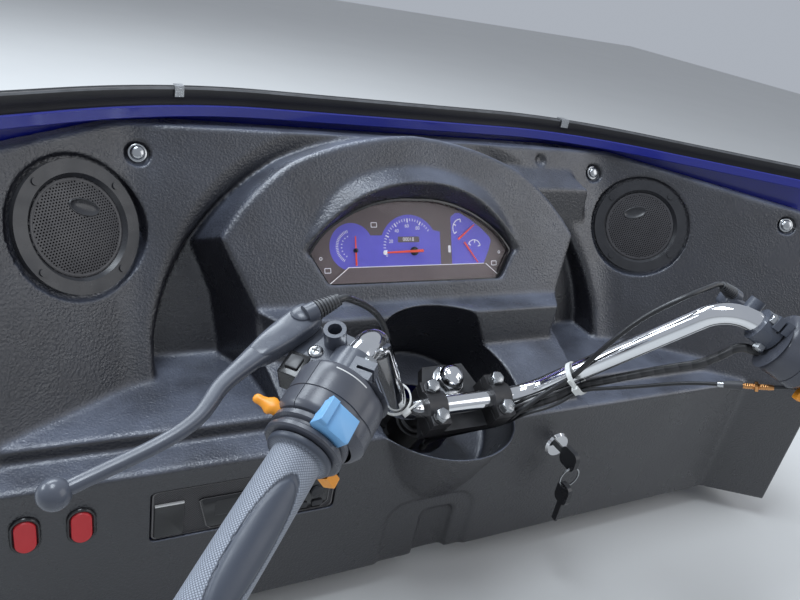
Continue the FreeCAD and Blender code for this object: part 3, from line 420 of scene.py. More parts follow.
def grip_mat():
    """Rubber grip: small diamonds all over, their raised tops painted lighter as a sheen, none on the oval
    pads.
    """
    n = Nodes("grip_rubber")
    uv = n.split(n.coords.outputs["UV"])
    waves = []
    for op in ("ADD", "SUBTRACT"):
        u, v = n.math("MULTIPLY", uv["X"], 46 * math.pi), n.math("MULTIPLY", uv["Y"], 56 * math.pi)
        slope = n.math(op, u, v)
        waves.append(n.math("ABSOLUTE", n.math("SINE", slope)))
    ridge = n.math("MINIMUM", *waves)
    pad = n.add("ShaderNodeAttribute", attribute_name="pad").outputs["Fac"]
    height = n.math("MULTIPLY", n.spread(ridge, 0, 1, 0.05, 0.55), n.math("SUBTRACT", 1, pad))
    base = n.mix(n.noise(50, 4), srgb(112, 117, 127), srgb(132, 138, 149))
    # Painted sheen: the raised diamond tops lightened towards pale blue-grey.
    base = n.mix(n.math("MULTIPLY", height, 0.6), base, srgb(176, 182, 194))
    n.set("Base Color", n.mix(pad, base, srgb(70, 75, 86)))
    gloss = n.math("MULTIPLY", pad, 0.06)
    n.set("Roughness", n.math("SUBTRACT", n.spread(n.noise(70, 4), 0.4, 0.52), gloss))
    n.bump(n.math("ADD", height, n.math("MULTIPLY", n.noise(1600, 2), 0.12)), 0.00045, 0.9)
    return n.mat


def loom_mat():
    """Cable sleeve wound with tape."""
    n = Nodes("taped_sleeve")
    leaning = n.add("ShaderNodeMapping", {"Vector": n.coords.outputs["Object"], "Rotation": (0.5, 0.3, 0.9)})
    at = leaning.outputs["Vector"]
    inputs = {"Vector": at, "Scale": 24, "Distortion": 3, "Detail": 3, "Detail Scale": 2}
    turns = n.add("ShaderNodeTexWave", inputs, wave_profile="SAW").outputs["Fac"]
    n.set("Base Color", n.mix(turns, srgb(26, 26, 28), srgb(58, 57, 58)))
    n.rough(90, 4, 0.28, 0.46)
    n.bump(turns, 0.0011, 0.9)
    return n.mat


def radio_weave():
    """Woven look of the radio's front, as two crossed waves."""
    n = Nodes("radio_weave")
    at = n.split(n.coords.outputs["Object"])
    warp, weft = [n.math("SINE", n.math("MULTIPLY", at[axis], 2600)) for axis in ("X", "Z")]
    weave = n.spread(n.math("MULTIPLY", warp, weft), 0, 1, -0.8, 0.8)
    n.set("Base Color", n.mix(weave, srgb(24, 24, 26), srgb(74, 72, 74)))
    n.rough(60, 3, 0.34, 0.5)
    n.bump(weave, 0.0003, 0.9)
    return n.mat


def dial_mat(name, colour, painted_glow):
    """Printed film of the instrument face, with a faint painted glow that brightens it though it is not lit
    from behind.
    """
    n = Nodes(name)
    colour = srgb(*colour)
    n.set("Base Color", n.mix(n.noise(38, 5), scaled(colour, 0.82), scaled(colour, 1.12)))
    n.rough(80, 4, 0.35, 0.5)
    n.bump(n.noise(2200, 2), 0.00001)
    # Painted glow: the face is no lamp, its emission only brightens it.
    n.set("Emission Color", colour)
    n.set("Emission Strength", painted_glow)
    return n.mat


M = {
    "dash": moulded_black(),
    "chrome": chrome_mat(),
    "lens": lens_mat(),
    "grip": grip_mat(),
    "loom": loom_mat(),
    "weave": radio_weave(),
    "blue_paint": finish_mat("blue_paint", (24, 34, 138), 0.18, mottle=0.06, grain=160, coat=0.6, dust=0.08),
    "rubber": finish_mat("seal_rubber", (30, 30, 32), 0.46, mottle=0.2, grain=500, deep=80, dust=0.35),
    "zinc": finish_mat("zinc", (186, 188, 190), 0.24, metal=1, mottle=0.14, grain=300),
    "satin": finish_mat("satin_black", (40, 40, 43), 0.3, grain=1200, deep=10, dust=0.15),
    "lever": finish_mat("lever_black", (80, 84, 94), 0.27, grain=650, deep=30, dust=0.1),
    "housing": finish_mat("housing_plastic", (74, 76, 84), 0.3, mottle=0.1, dust=0.06),
    "bezel": finish_mat("bezel_black", (26, 26, 28), 0.22, mottle=0.1, grain=1400, deep=6, coat=0.3),
    "steel": finish_mat("black_steel", (38, 37, 38), 0.38, mottle=0.2, grain=400, deep=50, dust=0.15),
    "alloy": finish_mat("cast_alloy", (80, 79, 80), 0.4, metal=0.8, mottle=0.18, grain=700, deep=60),
    "cable": finish_mat("cable_black", (28, 28, 30), 0.32, mottle=0.15, grain=600, deep=30, dust=0.2),
    "nylon": finish_mat("white_nylon", (222, 222, 218), 0.36, mottle=0.05, grain=800),
    "sky": finish_mat("switch_blue", (122, 176, 222), 0.34, mottle=0.05),
    "orange": finish_mat("switch_orange", (248, 160, 44), 0.36, mottle=0.05),
    "red": finish_mat("rocker_red", (196, 40, 46), 0.34, mottle=0.08, dust=0.1),
    "brass": finish_mat("brass", (206, 150, 96), 0.28, metal=1, mottle=0.16, grain=500, deep=30),
    "boot": finish_mat("boot_rubber", (66, 66, 68), 0.5, mottle=0.15, grain=700, deep=50, dust=0.2),
    "grille": finish_mat("grille_black", (58, 56, 58), 0.34, dust=0.2),
    "cone": finish_mat("cone_paper", (14, 14, 15), 0.8, mottle=0.3, deep=50),
    "gloss": finish_mat("radio_gloss", (18, 18, 20), 0.1, mottle=0.1, grain=300, deep=4, coat=0.4),
    "trim": finish_mat("radio_trim", (112, 110, 110), 0.34, metal=0.4, mottle=0.1, grain=800, deep=10),
    "mark": finish_mat("mark_white", (214, 214, 212), 0.5, mottle=0.05, deep=10),
    "film": dial_mat("dial_film", (122, 108, 106), 0.05),
    "dial_blue": dial_mat("dial_blue", (118, 112, 226), 0.1),
    "dial_white": dial_mat("dial_white", (240, 238, 240), 0.3),
    "needle": dial_mat("needle_red", (244, 92, 66), 0.3),
}

# CAD nodes that keep their shape and get a finish alone.
FINISH = {
    "blue_paint": ["bulkhead"],
    "zinc": ["key_ring"],
    "satin": ["speaker_ring_l", "speaker_ring_r", "ignition_key", "spare_key"],
    "cone": ["speaker_basket_l", "speaker_basket_r"],
    "bezel": ["cluster_housing", "cluster_body"],
    "steel": ["head_tube", "steering_stem"],
    "alloy": ["clamp_cap_l", "clamp_cap_r"],
    "chrome": ["handlebar", "key_switch"],
    "lever": ["lever_perch_l", "lever_perch_r"],
    "cable": ["brake_cable", "clutch_cable", "throttle_cable"],
    "loom": ["switch_loom"],
    "nylon": ["cable_tie_l", "cable_tie_r"],
    "orange": ["horn_switch", "stop_switch"],
}
for key, names in FINISH.items():
    for node_name in names:
        for mat_slot in NODES[node_name].material_slots:
            mat_slot.material = M[key]


def linked(name, data):
    """New object in the scene."""
    thing = bpy.data.objects.new(name, data)
    scene.collection.objects.link(thing)
    return thing


def evaluated(thing):
    """Mesh of an object with its modifiers or its text worked out."""
    return bpy.data.meshes.new_from_object(thing.evaluated_get(bpy.context.evaluated_depsgraph_get()))


# Outlines, as (x, y) points of a place in millimetres.

def polar(r, a):
    return (r * math.cos(a), r * math.sin(a))


def angles(steps):
    return [2 * math.pi * i / steps for i in range(steps)]


def middle(outline):
    return [sum(p[i] for p in outline) / len(outline) for i in (0, 1)]


def inset(outline, by):
    """A convex outline with its corners moved that far towards its middle."""
    if not by:
        return outline
    cx, cy = middle(outline)
    out = []
    for x, y in outline:
        k = max(0, 1 - by / math.hypot(x - cx, y - cy))
        out.append((cx + (x - cx) * k, cy + (y - cy) * k))
    return out


def rounded(x0, x1, y0, y1, r, steps=6):
    """Rectangle with round corners."""
    out = []
    low_x, high_x, low_y, high_y = x0 + r, x1 - r, y0 + r, y1 - r
    for cx, cy, a0 in ((high_x, high_y, 0), (low_x, high_y, 90), (low_x, low_y, 180), (high_x, low_y, 270)):
        for i in range(steps + 1):
            x, y = polar(r, math.radians(a0 + 90 * i / steps))
            out.append((cx + x, cy + y))
    return out


def oval(cx, cy, a, b, steps=40, turn=0):
    c, s = math.cos(turn), math.sin(turn)
    return [(cx + a * math.cos(t) * c - b * math.sin(t) * s, cy + a * math.cos(t) * s + b * math.sin(t) * c)
            for t in angles(steps)]


def hexagon(r):
    return [polar(r, a) for a in angles(6)]


def smooth_outline(outline, rounds=2):
    """Corner cutting."""
    for _ in range(rounds):
        out = []
        for p, q in zip(outline, outline[1:] + outline[:1]):
            out += [(p[0] * 0.75 + q[0] * 0.25, p[1] * 0.75 + q[1] * 0.25),
                    (p[0] * 0.25 + q[0] * 0.75, p[1] * 0.25 + q[1] * 0.75)]
        outline = out
    return outline


def hull_on(node, place):
    """Convex outline of a CAD node seen along a place's third axis."""
    pts = set()
    for v in NODES[node].data.vertices:
        d = v.co / MM - place.at
        pts.add((round(d.dot(place.a), 1), round(d.dot(place.b), 1)))
    pts = sorted(pts)

    def chain(points):
        out = []
        for p in points:
            while len(out) > 1 and ((out[-1][0] - out[-2][0]) * (p[1] - out[-2][1])
                                    - (out[-1][1] - out[-2][1]) * (p[0] - out[-2][0])) <= 0:
                out.pop()
            out.append(p)
        return out[:-1]
    return chain(pts) + chain(pts[::-1])


class Shape:
    """Collects faces with their finishes, then makes one piece."""

    def __init__(self):
        self.verts, self.faces, self.keys = [], [], []

    def add(self, verts, faces, key):
        n = len(self.verts)
        self.verts += [tuple(v) for v in verts]
        self.faces += [[n + i for i in f] for f in faces]
        self.keys += [key] * len(faces)

    def skin(self, rings, key, caps=True):
        """Closed rings of equal count joined in order."""
        n = len(rings[0])
        faces = [(i * n + j, i * n + (j + 1) % n, (i + 1) * n + (j + 1) % n, (i + 1) * n + j)
                 for i in range(len(rings) - 1) for j in range(n)]
        if caps:
            faces += [tuple(range(n))[::-1], tuple((len(rings) - 1) * n + j for j in range(n))]
        self.add([p for ring in rings for p in ring], faces, key)

    def turn(self, place, profile, key, steps=48, caps=True):
        """Turned form: (height, radius) stations about the place's third axis."""
        self.skin([[place(*polar(r, a), h) for a in angles(steps)] for h, r in profile], key, caps)

    def stack(self, place, outline, stations, key, caps=True):
        """Outline carried along (height, inset) stations."""
        self.skin([[place(x, y, z) for x, y in inset(outline, by)] for z, by in stations], key, caps)

    def slab(self, place, outline, z0, z1, key, round_by=0):
        """Plate of a convex outline, its front edge rounded."""
        back = math.copysign(round_by, z1 - z0)
        stations = [(z0, 0), (z1 - back, 0)]
        if round_by:
            for a in (math.pi / 4, math.pi / 2):
                stations.append((z1 - back + back * math.sin(a), round_by * (1 - math.cos(a))))
        self.stack(place, outline, stations, key)

    def mesh_object(self, name, sharp=38):
        """An object of the faces, smooth but for its edges sharper than that many degrees."""
        mesh = bpy.data.meshes.new(name)
        mesh.from_pydata(self.verts, [], self.faces)
        keys = sorted(set(self.keys))
        for key in keys:
            mesh.materials.append(M[key])
        mesh.polygons.foreach_set("material_index", [keys.index(k) for k in self.keys])
        work = bmesh.new()
        work.from_mesh(mesh)
        bmesh.ops.recalc_face_normals(work, faces=work.faces)
        work.to_mesh(mesh)
        work.free()
        mesh.shade_smooth()
        mesh.set_sharp_from_angle(angle=math.radians(sharp))
        return linked(name, mesh)

    def make(self, name, body, node=None, sharp=38):
        """The piece on its body, in place of a CAD node."""
        piece = self.mesh_object(name, sharp)
        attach(piece, body)
        if node:
            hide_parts(node)
        return piece


def bolt_head(shape, place, r, height, key, dome=1.2):
    """Hexagon head with its chamfered top."""
    stations = ((0, 1), (height - dome, 1), (height - dome / 3, 0.93), (height, 0.8))
    shape.skin([[place(x, y, z) for x, y in hexagon(r * k)] for z, k in stations], key)


def cross_screw(shape, place, r, key):
    """Pan head with a cross in it."""
    shape.turn(place, [(-1, r), (0.6, r), (1.6, r * 0.86), (2.2, r * 0.6), (2.3, 0.5)], key, 28)
    for a, b in ((r * 0.52, r * 0.12), (r * 0.12, r * 0.52)):
        shape.slab(place, [(a * x, b * y) for x, y in CORNERS], 1.8, 2.45, "bezel")


# Instrument.

def flat(shape, outline, deep, key):
    """Printed patch on the instrument face."""
    shape.add([face(x, y, deep) for x, y in outline], [tuple(range(len(outline)))], key)


def stroke(shape, p, q, width, deep):
    """White line from p to q: print on the dial, and on the sill a painted highlight."""
    p, q = Vector(p), Vector(q)
    d = (q - p).normalized()
    n = Vector((-d.y, d.x)) * (width / 2)
    flat(shape, [p + n, q + n, q - n, p - n], deep, "dial_white")


def trace(shape, points, width, deep):
    for p, q in zip(points, points[1:]):
        stroke(shape, p, q, width, deep)


def write(shape, text, at, size, deep):
    """Flat white figures, centred at a point."""
    curve = bpy.data.curves.new("figures", "FONT")
    curve.body = text
    curve.size = size
    curve.align_x = "CENTER"
    curve.align_y = "CENTER"
    temp = linked("figures", curve)
    mesh = evaluated(temp)
    shape.add([face(at[0] + v.co.x, at[1] - v.co.y, deep) for v in mesh.vertices],
              [tuple(p.vertices) for p in mesh.polygons], "dial_white")
    bpy.data.objects.remove(temp)
    bpy.data.curves.remove(curve)
    bpy.data.meshes.remove(mesh)


def clock(at, r, degrees):
    """Point on a circle of the face: 0 to the left, 90 up."""
    x, y = polar(r, math.radians(degrees))
    return (at[0] - x, at[1] - y)


def ticks(shape, at, r, turns, length, width, deep):
    """Ticks that end on a circle of the face."""
    for a in turns:
        stroke(shape, clock(at, r - length, a), clock(at, r, a), width, deep)


def add_dial():
    s = Shape()
    s.slab(face, hull_on("cluster_dial", face), DIAL_DEEP + 3, DIAL_DEEP + 0.6, "film")
    lay = PRINT_DEEP
    for at, r in BLUE_DISCS:
        flat(s, oval(*at, r, r, 64), lay, "dial_blue")
        lay -= LAYER / 4
    for outline in BLUE_FIELDS:
        flat(s, outline, lay, "dial_blue")
    lay -= LAYER
    turns = [SPEEDO_FROM + SPEEDO_SWEEP * i / 24 for i in range(25)]
    ticks(s, SPEEDO_AT, SPEEDO_R, turns[::5], 4.8, 1.5, lay)
    ticks(s, SPEEDO_AT, SPEEDO_R, [a for i, a in enumerate(turns) if i % 5], 3.2, 0.8, lay)
    for text, a in SPEEDO_NUMBERS:
        write(s, text, clock(SPEEDO_AT, SPEEDO_R - 9, a), NUMBER_SIZE, lay)
    write(s, "0", clock(SPEEDO_AT, SPEEDO_R - 3, -16), 5, lay)
    turns = [FUEL_FROM + FUEL_SWEEP * i / 22 for i in range(23)]
    ticks(s, FUEL_AT, FUEL_R, turns, 3.2, 0.7, lay)
    ticks(s, FUEL_AT, FUEL_R - 6.4, turns[::3], 1.6, 1, lay)
    # Odometer.
    flat(s, rounded(-21.5, 7.5, -56.2, -49.4, 1), lay, "film")
    write(s, "00018", (-7.3, -52.8), 6.2, lay - LAYER)
    # Arcs with end ticks on the right, and a bar between the fields.
    for at, r, a0, a1 in SMALL_GAUGES:
        turns = [a0 + (a1 - a0) * i / ARC_STEPS for i in range(ARC_STEPS + 1)]
        trace(s, [clock(at, r, a) for a in turns], 1.1, lay)
        ticks(s, at, r, turns[::ARC_STEPS // 2], 4, 1.3, lay)
    flat(s, rounded(48, 51.6, -45, -36, 1), lay, "dial_white")
    for x, y in DIAL_SCREWS:
        flat(s, oval(x, y, 2, 2, 20), lay, "dial_white")
        flat(s, oval(x, y, 1.1, 1.1, 16), lay - LAYER, "film")
    for x, y in SIGNS:
        sign = [(x + i * SIGN_HALF[0], y + j * SIGN_HALF[1]) for i, j in CORNERS]
        trace(s, sign + sign[:1], 0.9, lay)
    s.make("dial", "dash", "cluster_dial")


def add_needles():
    """Needles with the hub of the large one, the stud of the fuel gauge and the knob on the large tip."""
    s = Shape()
    hub = face.shift(0, 0, DIAL_DEEP)
    up = Place(hub.at, hub.a, hub.b, -hub.c)
    for p, q, w0, w1 in NEEDLES:
        d = Vector((q[0] - p[0], q[1] - p[1])).normalized()
        n = Vector((-d.y, d.x))
        s.skin([[up(at[0] + n.x * k * w / 2, at[1] + n.y * k * w / 2, z) for k, z in NEEDLE_SECTION]
                for at, w in ((p, w0), (q, w1))], "needle")
    s.turn(up.shift(0, -38.6), [(-0.4, 5.2), (1.2, 5.2), (1.6, 4.4), (1.7, 0.3)], "bezel", 28)
    s.turn(up.shift(-77.4, -40.5), [(-0.4, 2.6), (2.6, 2.6), (2.9, 1.8), (3, 0.3)], "bezel", 20)
    s.turn(up.shift(*NEEDLES[1][1]), [(1.2, 2.6), (2.5, 2.4), (2.6, 0.3)], "dial_white", 20)
    s.make("needles", "dash")


def add_sill():
    """Sloped sill under the dial, and a thin painted highlight along its edges."""
    s = Shape()
    top = [face(x, y, DIAL_DEEP) for x, y in SILL_TOP]
    low = [face(x, y, DIAL_DEEP - SILL_RISE) for x, y in SILL_LOW]
    front = [face(x, SILL_FRONT_Y, DIAL_DEEP - SILL_FRONT_RISE) for x in SILL_FRONT]
    s.add(top + low + front, [(0, 1, 3, 2), (2, 3, 5, 4)], "film")
    # Painted highlight: white lines along the sill's side and top edges.
    for p, q in zip(SILL_TOP, SILL_LOW):
        stroke(s, p, q, 0.9, DIAL_DEEP - 3.6)
    stroke(s, *SILL_TOP, 0.9, DIAL_DEEP - 0.5)
    s.make("dial_sill", "dash")


def add_lens():
    """Clear cover, crowned a little towards the driver."""
    outline = hull_on("cluster_lens", face)
    cx, cy = middle(outline)

    def rings(crown, edge):
        return [[face(cx + (x - cx) * k, cy + (y - cy) * k, edge - crown * (1 - k * k)) for x, y in outline]
                for k in (1, 0.97, 0.9, 0.75, 0.5, 0.25, 0.02)]
    s = Shape()
    s.skin(rings(1.6, 10.6)[::-1] + rings(1.4, 12), "lens")
    s.make("clear_cover", "dash", "cluster_lens")


def add_grille(name, place, node):
    """Domed grille with its holes, a plain edge and rim, and a plain oval badge."""
    s = Shape()
    verts, faces, index = [], [], {}

    def dome(x, y):
        return GRILLE_BASE + GRILLE_RISE * (1 - (x * x + y * y) / GRILLE_R ** 2)

    def in_badge(x, y):
        c, q = math.cos(-BADGE_TURN), math.sin(-BADGE_TURN)
        dx, dy = x - BADGE_AT[0], y - BADGE_AT[1]
        u, v = dx * c - dy * q, dx * q + dy * c
        return (u / (BADGE_SIZE[0] + BADGE_MARGIN)) ** 2 + (v / (BADGE_SIZE[1] + BADGE_MARGIN)) ** 2 < 1

    def vert(x, y, drop=0):
        key = (round(x, 3), round(y, 3), drop)
        if key not in index:
            index[key] = len(verts)
            verts.append(place(x, y, dome(x, y) - drop))
        return index[key]

    def cell(cx, cy, r):
        turns = [math.radians(30 + 60 * i) for i in range(6)]
        return [(cx + r * math.cos(a), cy + r * math.sin(a)) for a in turns]

    rows = int(GRILLE_R / (HOLE_PITCH * ROW_SHARE)) + 1
    for row in range(-rows, rows + 1):
        for col in range(-rows - 2, rows + 3):
            cx = (col + 0.5 * (row % 2)) * HOLE_PITCH
            cy = row * HOLE_PITCH * ROW_SHARE
            far = math.hypot(cx, cy)
            if far > GRILLE_R - 0.4:
                continue
            rim = cell(cx, cy, HOLE_PITCH / CELL_SHARE)
            if far > GRILLE_R - PLAIN_EDGE or in_badge(cx, cy):
                faces.append([vert(*p) for p in rim])
                continue
            hole = cell(cx, cy, HOLE_R)
            for i in range(6):
                j = (i + 1) % 6
                a, b = vert(*hole[i]), vert(*hole[j])
                faces.append([vert(*rim[i]), vert(*rim[j]), b, a])
                faces.append([a, b, vert(*hole[j], HOLE_DEEP), vert(*hole[i], HOLE_DEEP)])
    s.add(verts, faces, "grille")
    s.turn(place, [(GRILLE_BASE + h, GRILLE_R + r) for h, r in GRILLE_RIM], "grille", 96, caps=False)
    rings = []
    for grow, lift in ((1, 0), (0.4, 0.9), (-0.5, 0.9), (-1.1, 0.1), (-7, 0.15)):
        ring = oval(*BADGE_AT, BADGE_SIZE[0] + grow, max(0.4, BADGE_SIZE[1] + grow), 44, BADGE_TURN)
        rings.append([place(x, y, dome(x, y) + lift) for x, y in ring])
    s.skin(rings, "satin")
    s.make(name, "dash", node, sharp=60)


# Fascia, bolts and nuts.

def add_radio():
    """Radio: woven front with a trim line, buttons on the left, a glossy field with keys and a knob."""
    low, high = box_of("radio")
    x0, x1, z0, z1 = low.x, high.x, low.z, high.z
    plate = front_place(low.y)
    s = Shape()
    s.slab(plate, rounded(x0, x1, z0, z1, 5), -10, 0.4, "weave", 0.6)
    s.slab(plate, rounded(x0 + 4, x1 - 4, z0 + 3, z1 - 3, 3), -RADIO_DEEP, -10, "steel")

    def trim_line(outline, width, z):
        stations = ((z - 0.6, 0), (z, 0.2), (z, width - 0.2), (z - 0.6, width))
        s.stack(plate, outline, stations, "trim", caps=False)

    trim_line(rounded(x0 + 0.5, x1 - 0.5, z0 + 0.5, z1 - 0.5, 5), 1.6, 1)
    left, right = x0 + 3, x0 + 30
    top_z, low_z = z1 - 17, z0 + 2.5
    s.slab(plate, rounded(left, right, low_z, top_z, 1.5), 0.2, 2.4, "gloss", 0.8)
    s.slab(plate, [(left, top_z - 0.5), (right, top_z - 0.5), (right, top_z + 1.2), (left, top_z + 1.2)],
           0.2, 2.6, "mark", 0.3)
    field = [(right + 14, top_z - 2), (right + 17, top_z), (x1 - 12, top_z), (x1 - 6, top_z - 6),
             (x1 - 6, low_z + 8), (x1 - 14, low_z), (right + 26, low_z), (right + 22, low_z + 4)]
    s.slab(plate, field, 0.2, 1.8, "gloss", 0.6)
    trim_line(field, 1.2, 2.1)
    for i in range(5):
        x = x1 - 92 + i * 17
        s.slab(plate, rounded(x, x + 12, low_z + 3, low_z + 10, 2), 1.5, 2.8, "satin", 0.6)
    s.slab(plate, rounded(right + 30, x1 - 34, low_z + 15, top_z - 5, 2), 1.5, 2.1, "bezel", 0.3)
    knob = plate.shift(x1 - 20, (low_z + top_z) / 2 + 3)
    s.turn(knob, [(1, 7.5), (4.2, 7.2), (5, 6.2), (5.2, 0.4)], "satin", 36)
    s.make("radio_face", "dash", "radio")


def add_rocker(name, node):
    """Rocker switch: black frame, and a red cap hollowed across its middle."""
    low, high = box_of(node)
    middle_x, middle_z = (low.x + high.x) / 2, (low.z + high.z) / 2
    at = front_place(FASCIA_Y).shift(middle_x, middle_z)
    half_w, half_h = (high.x - low.x) / 2, (high.z - low.z) / 2
    cap_w, cap_h = half_w - 3.6, half_h - 3.6

    def tall(d, w=half_w, h=half_h, steps=14):
        """Upright outline with round ends, set in by d."""
        a, b = w - d, h - d
        out = []
        for side, a0 in ((1, 0), (-1, 180)):
            for i in range(steps + 1):
                x, y = polar(a, math.radians(a0 + 180 * i / steps))
                out.append((x, side * (b - a) + y))
        return out

    def cap(d, lift):
        return [at(x, y, lift + 1.2 * (abs(y) / cap_h) ** 2 + (0.9 if y < 0 else -0.2) * (abs(y) / cap_h))
                for x, y in tall(d, cap_w, cap_h)]
    s = Shape()
    bezel = ((0.05, 0), (1.4, 0.1), (2.3, 0.9), (2.5, 2), (1.8, 3.1), (-3, 3.2))
    s.skin([[at(x, y, z) for x, y in tall(d)] for z, d in bezel], "bezel", caps=False)
    s.skin([[at(x, y, z) for x, y in tall(3.5)] for z in (-26, 0.4)], "bezel")
    s.skin([cap(d, lift) for d, lift in ((0, 0.2), (0.1, 2.3), (0.6, 3), (1.6, 3.2), (5, 2.9))], "red")
    s.make(name, "dash", node)


def add_bolt(name, node, normal):
    """Zinc bolt with a domed head and its shank."""
    n = normal.normalized()
    seat = plate_place(centre_of(node) + n * (BOLT_IN - BOLT_OUT) / 2, n)
    s = Shape()
    s.turn(seat, [(0, 9.4), (1.2, 9.4), (1.5, 9), (1.6, 7.6), (3.4, 7.4), (5, 6.6), (6.1, 4.6),
                  (BOLT_OUT, 2.2), (BOLT_OUT + 0.1, 0.2)], "zinc", 40)
    s.turn(seat, [(-BOLT_IN, 2.9), (0.2, 2.9)], "zinc", 20)
    s.make(name, "dash", node)


def add_stem_nut():
    """Dome nut on its washer."""
    base = axis_place.shift(0, 0, YOKE_TOP)
    s = Shape()
    s.turn(base, [(0.02, 18.6), (1.9, 18.6), (2.4, 17.9), (2.4, 12)], "zinc", 44)
    bolt_head(s, base.shift(0, 0, 2.2), 16.6, 9.4, "chrome", 1.6)
    dome = [(10.6, 14.4), (12.4, 14.2), (16.4, 12.8), (19.4, 10.2), (21.2, 6.8), (22, 3), (22.2, 0.2)]
    s.turn(base, dome, "chrome", 40)
    s.make("dome_nut", "steering", "stem_nut")


def add_clamp_bolts():
    """Two bolts in each clamp cap, turned as they came to rest."""
    s = Shape()
    for side, twist in ((-1, 0.4), (1, 1.2)):
        for du in (-CLAMP_BOLT_U, CLAMP_BOLT_U):
            at = axis_place.shift(side * CLAMP_X, BAR_U + du, CLAMP_TOP)
            s.turn(at, [(-0.1, 8.6), (1.4, 8.6), (1.6, 7.9), (1.6, 6)], "alloy", 32)
            across = (at.a + at.b * twist).normalized()
            head = Place(at.at, across, at.c.cross(across), at.c)
            bolt_head(s, head.shift(0, 0, 1.5), 8, 8, "zinc", 1.4)
    s.make("clamp_bolts", "steering")


# Controls on the handlebar. The places of the bar have their third axis along the grip.

def egg(r, bulge, a):
    """Distance from the bar's line to the housing's wall at an angle."""
    c = Vector(BULGE_AT)
    along = Vector(polar(1, a)).dot(c)
    gap = bulge * bulge - (c.length_squared - along * along)
    return max(r, along + math.sqrt(gap)) if gap > 0 else r


def add_housing(name, place, node, screws=()):
    """Housing round the bar with two seams and a ribbed outer lip. Screws are t, degrees and radius."""
    seams = [math.radians(SEAM_DEG), math.radians(SEAM_DEG + 180)]
    turns = sorted(set(angles(96)) | {m + math.radians(k) for m in seams for k in (-1.4, -0.7, 0, 0.7, 1.4)})

    def ring(t, r, bulge):
        return [place(*polar(egg(r, bulge, a) - (SEAM_DEEP if a in seams else 0), a), t) for a in turns]
    rings = [[place(*polar(TUBE_R, a), HOUSE_T0) for a in turns]]
    for end, stations in ((HOUSE_T0, HOUSE_START), (HOUSE_T1, HOUSE_END)):
        rings += [ring(end + t, HOUSE_R - d, max(3, BULGE_R - e)) for t, d, e in stations]
    s = Shape()
    s.skin(rings, "housing", caps=False)
    s.turn(place, [(HOUSE_T1 + t, r) for t, r in HOUSE_LIP], "housing", 96, caps=False)
    for t, degrees, r in screws:
        out = place.shift(0, 0, t).facing((*polar(1, math.radians(degrees)), 0))
        cross_screw(s, out.shift(0, 0, HOUSE_R + 0.2), r, "zinc")
    s.make(name, "steering", node, sharp=30)


def add_grip(name, place, node):
    """Rubber grip: textured, with a smooth oval pad on top and its raised end ring."""
    ends = [(0, TUBE_R), (0.05, 20.5), (1, 22), (3.6, 22), (4.8, 21)]
    tail = [(-2.2, GRIP_R - 0.2), (-1, GRIP_R - 1.2), (-0.2, GRIP_R - 3.2), (0, 8)]
    length = GRIP_T1 - GRIP_T0
    stations = [(GRIP_T0 + t, r) for t, r in ends]
    stations += [(GRIP_T0 + 5.2 + (length - 8.2) * i / GRIP_ALONG, None) for i in range(GRIP_ALONG + 1)]
    stations += [(GRIP_T1 + t, r) for t, r in tail]

    def pad_lift(e):
        if e < PAD_RIM:
            return 0.45 * min(1, (PAD_RIM - e) * 6)
        return -0.7 if e < PAD_GROOVE else 0.0
    rings, pads, uvs = [], [], []
    for t, r in stations:
        row = []
        for a in angles(GRIP_AROUND):
            turn = (a - PAD_TURN + math.pi) % (2 * math.pi) - math.pi
            e = math.hypot((t - PAD_T) / PAD_HALF_T, turn / PAD_HALF_TURN)
            far = r
            if r is None:
                far = GRIP_R - 0.9 + 0.5 * math.sin(math.pi * (t - GRIP_T0) / length) + pad_lift(e)
            row.append(place(*polar(far, a), t))
            pads.append(float(r is not None or e < PAD_GROOVE))
        rings.append(row)
        uvs += [(i / GRIP_AROUND, t / (2 * math.pi * GRIP_R)) for i in range(GRIP_AROUND)]
    s = Shape()
    s.skin(rings, "grip")
    mesh = s.make(name, "steering", node, sharp=50).data
    mesh.attributes.new("pad", "FLOAT", "POINT").data.foreach_set("value", pads)
    uv = mesh.uv_layers.new(name="wrap")
    for poly in mesh.polygons:
        us = [uvs[mesh.loops[i].vertex_index][0] for i in poly.loop_indices]
        wrap = max(us) - min(us) > 0.5
        for i in poly.loop_indices:
            u, v = uvs[mesh.loops[i].vertex_index]
            uv.data[i].uv = (u + 1 if wrap and u < 0.5 else u, v)


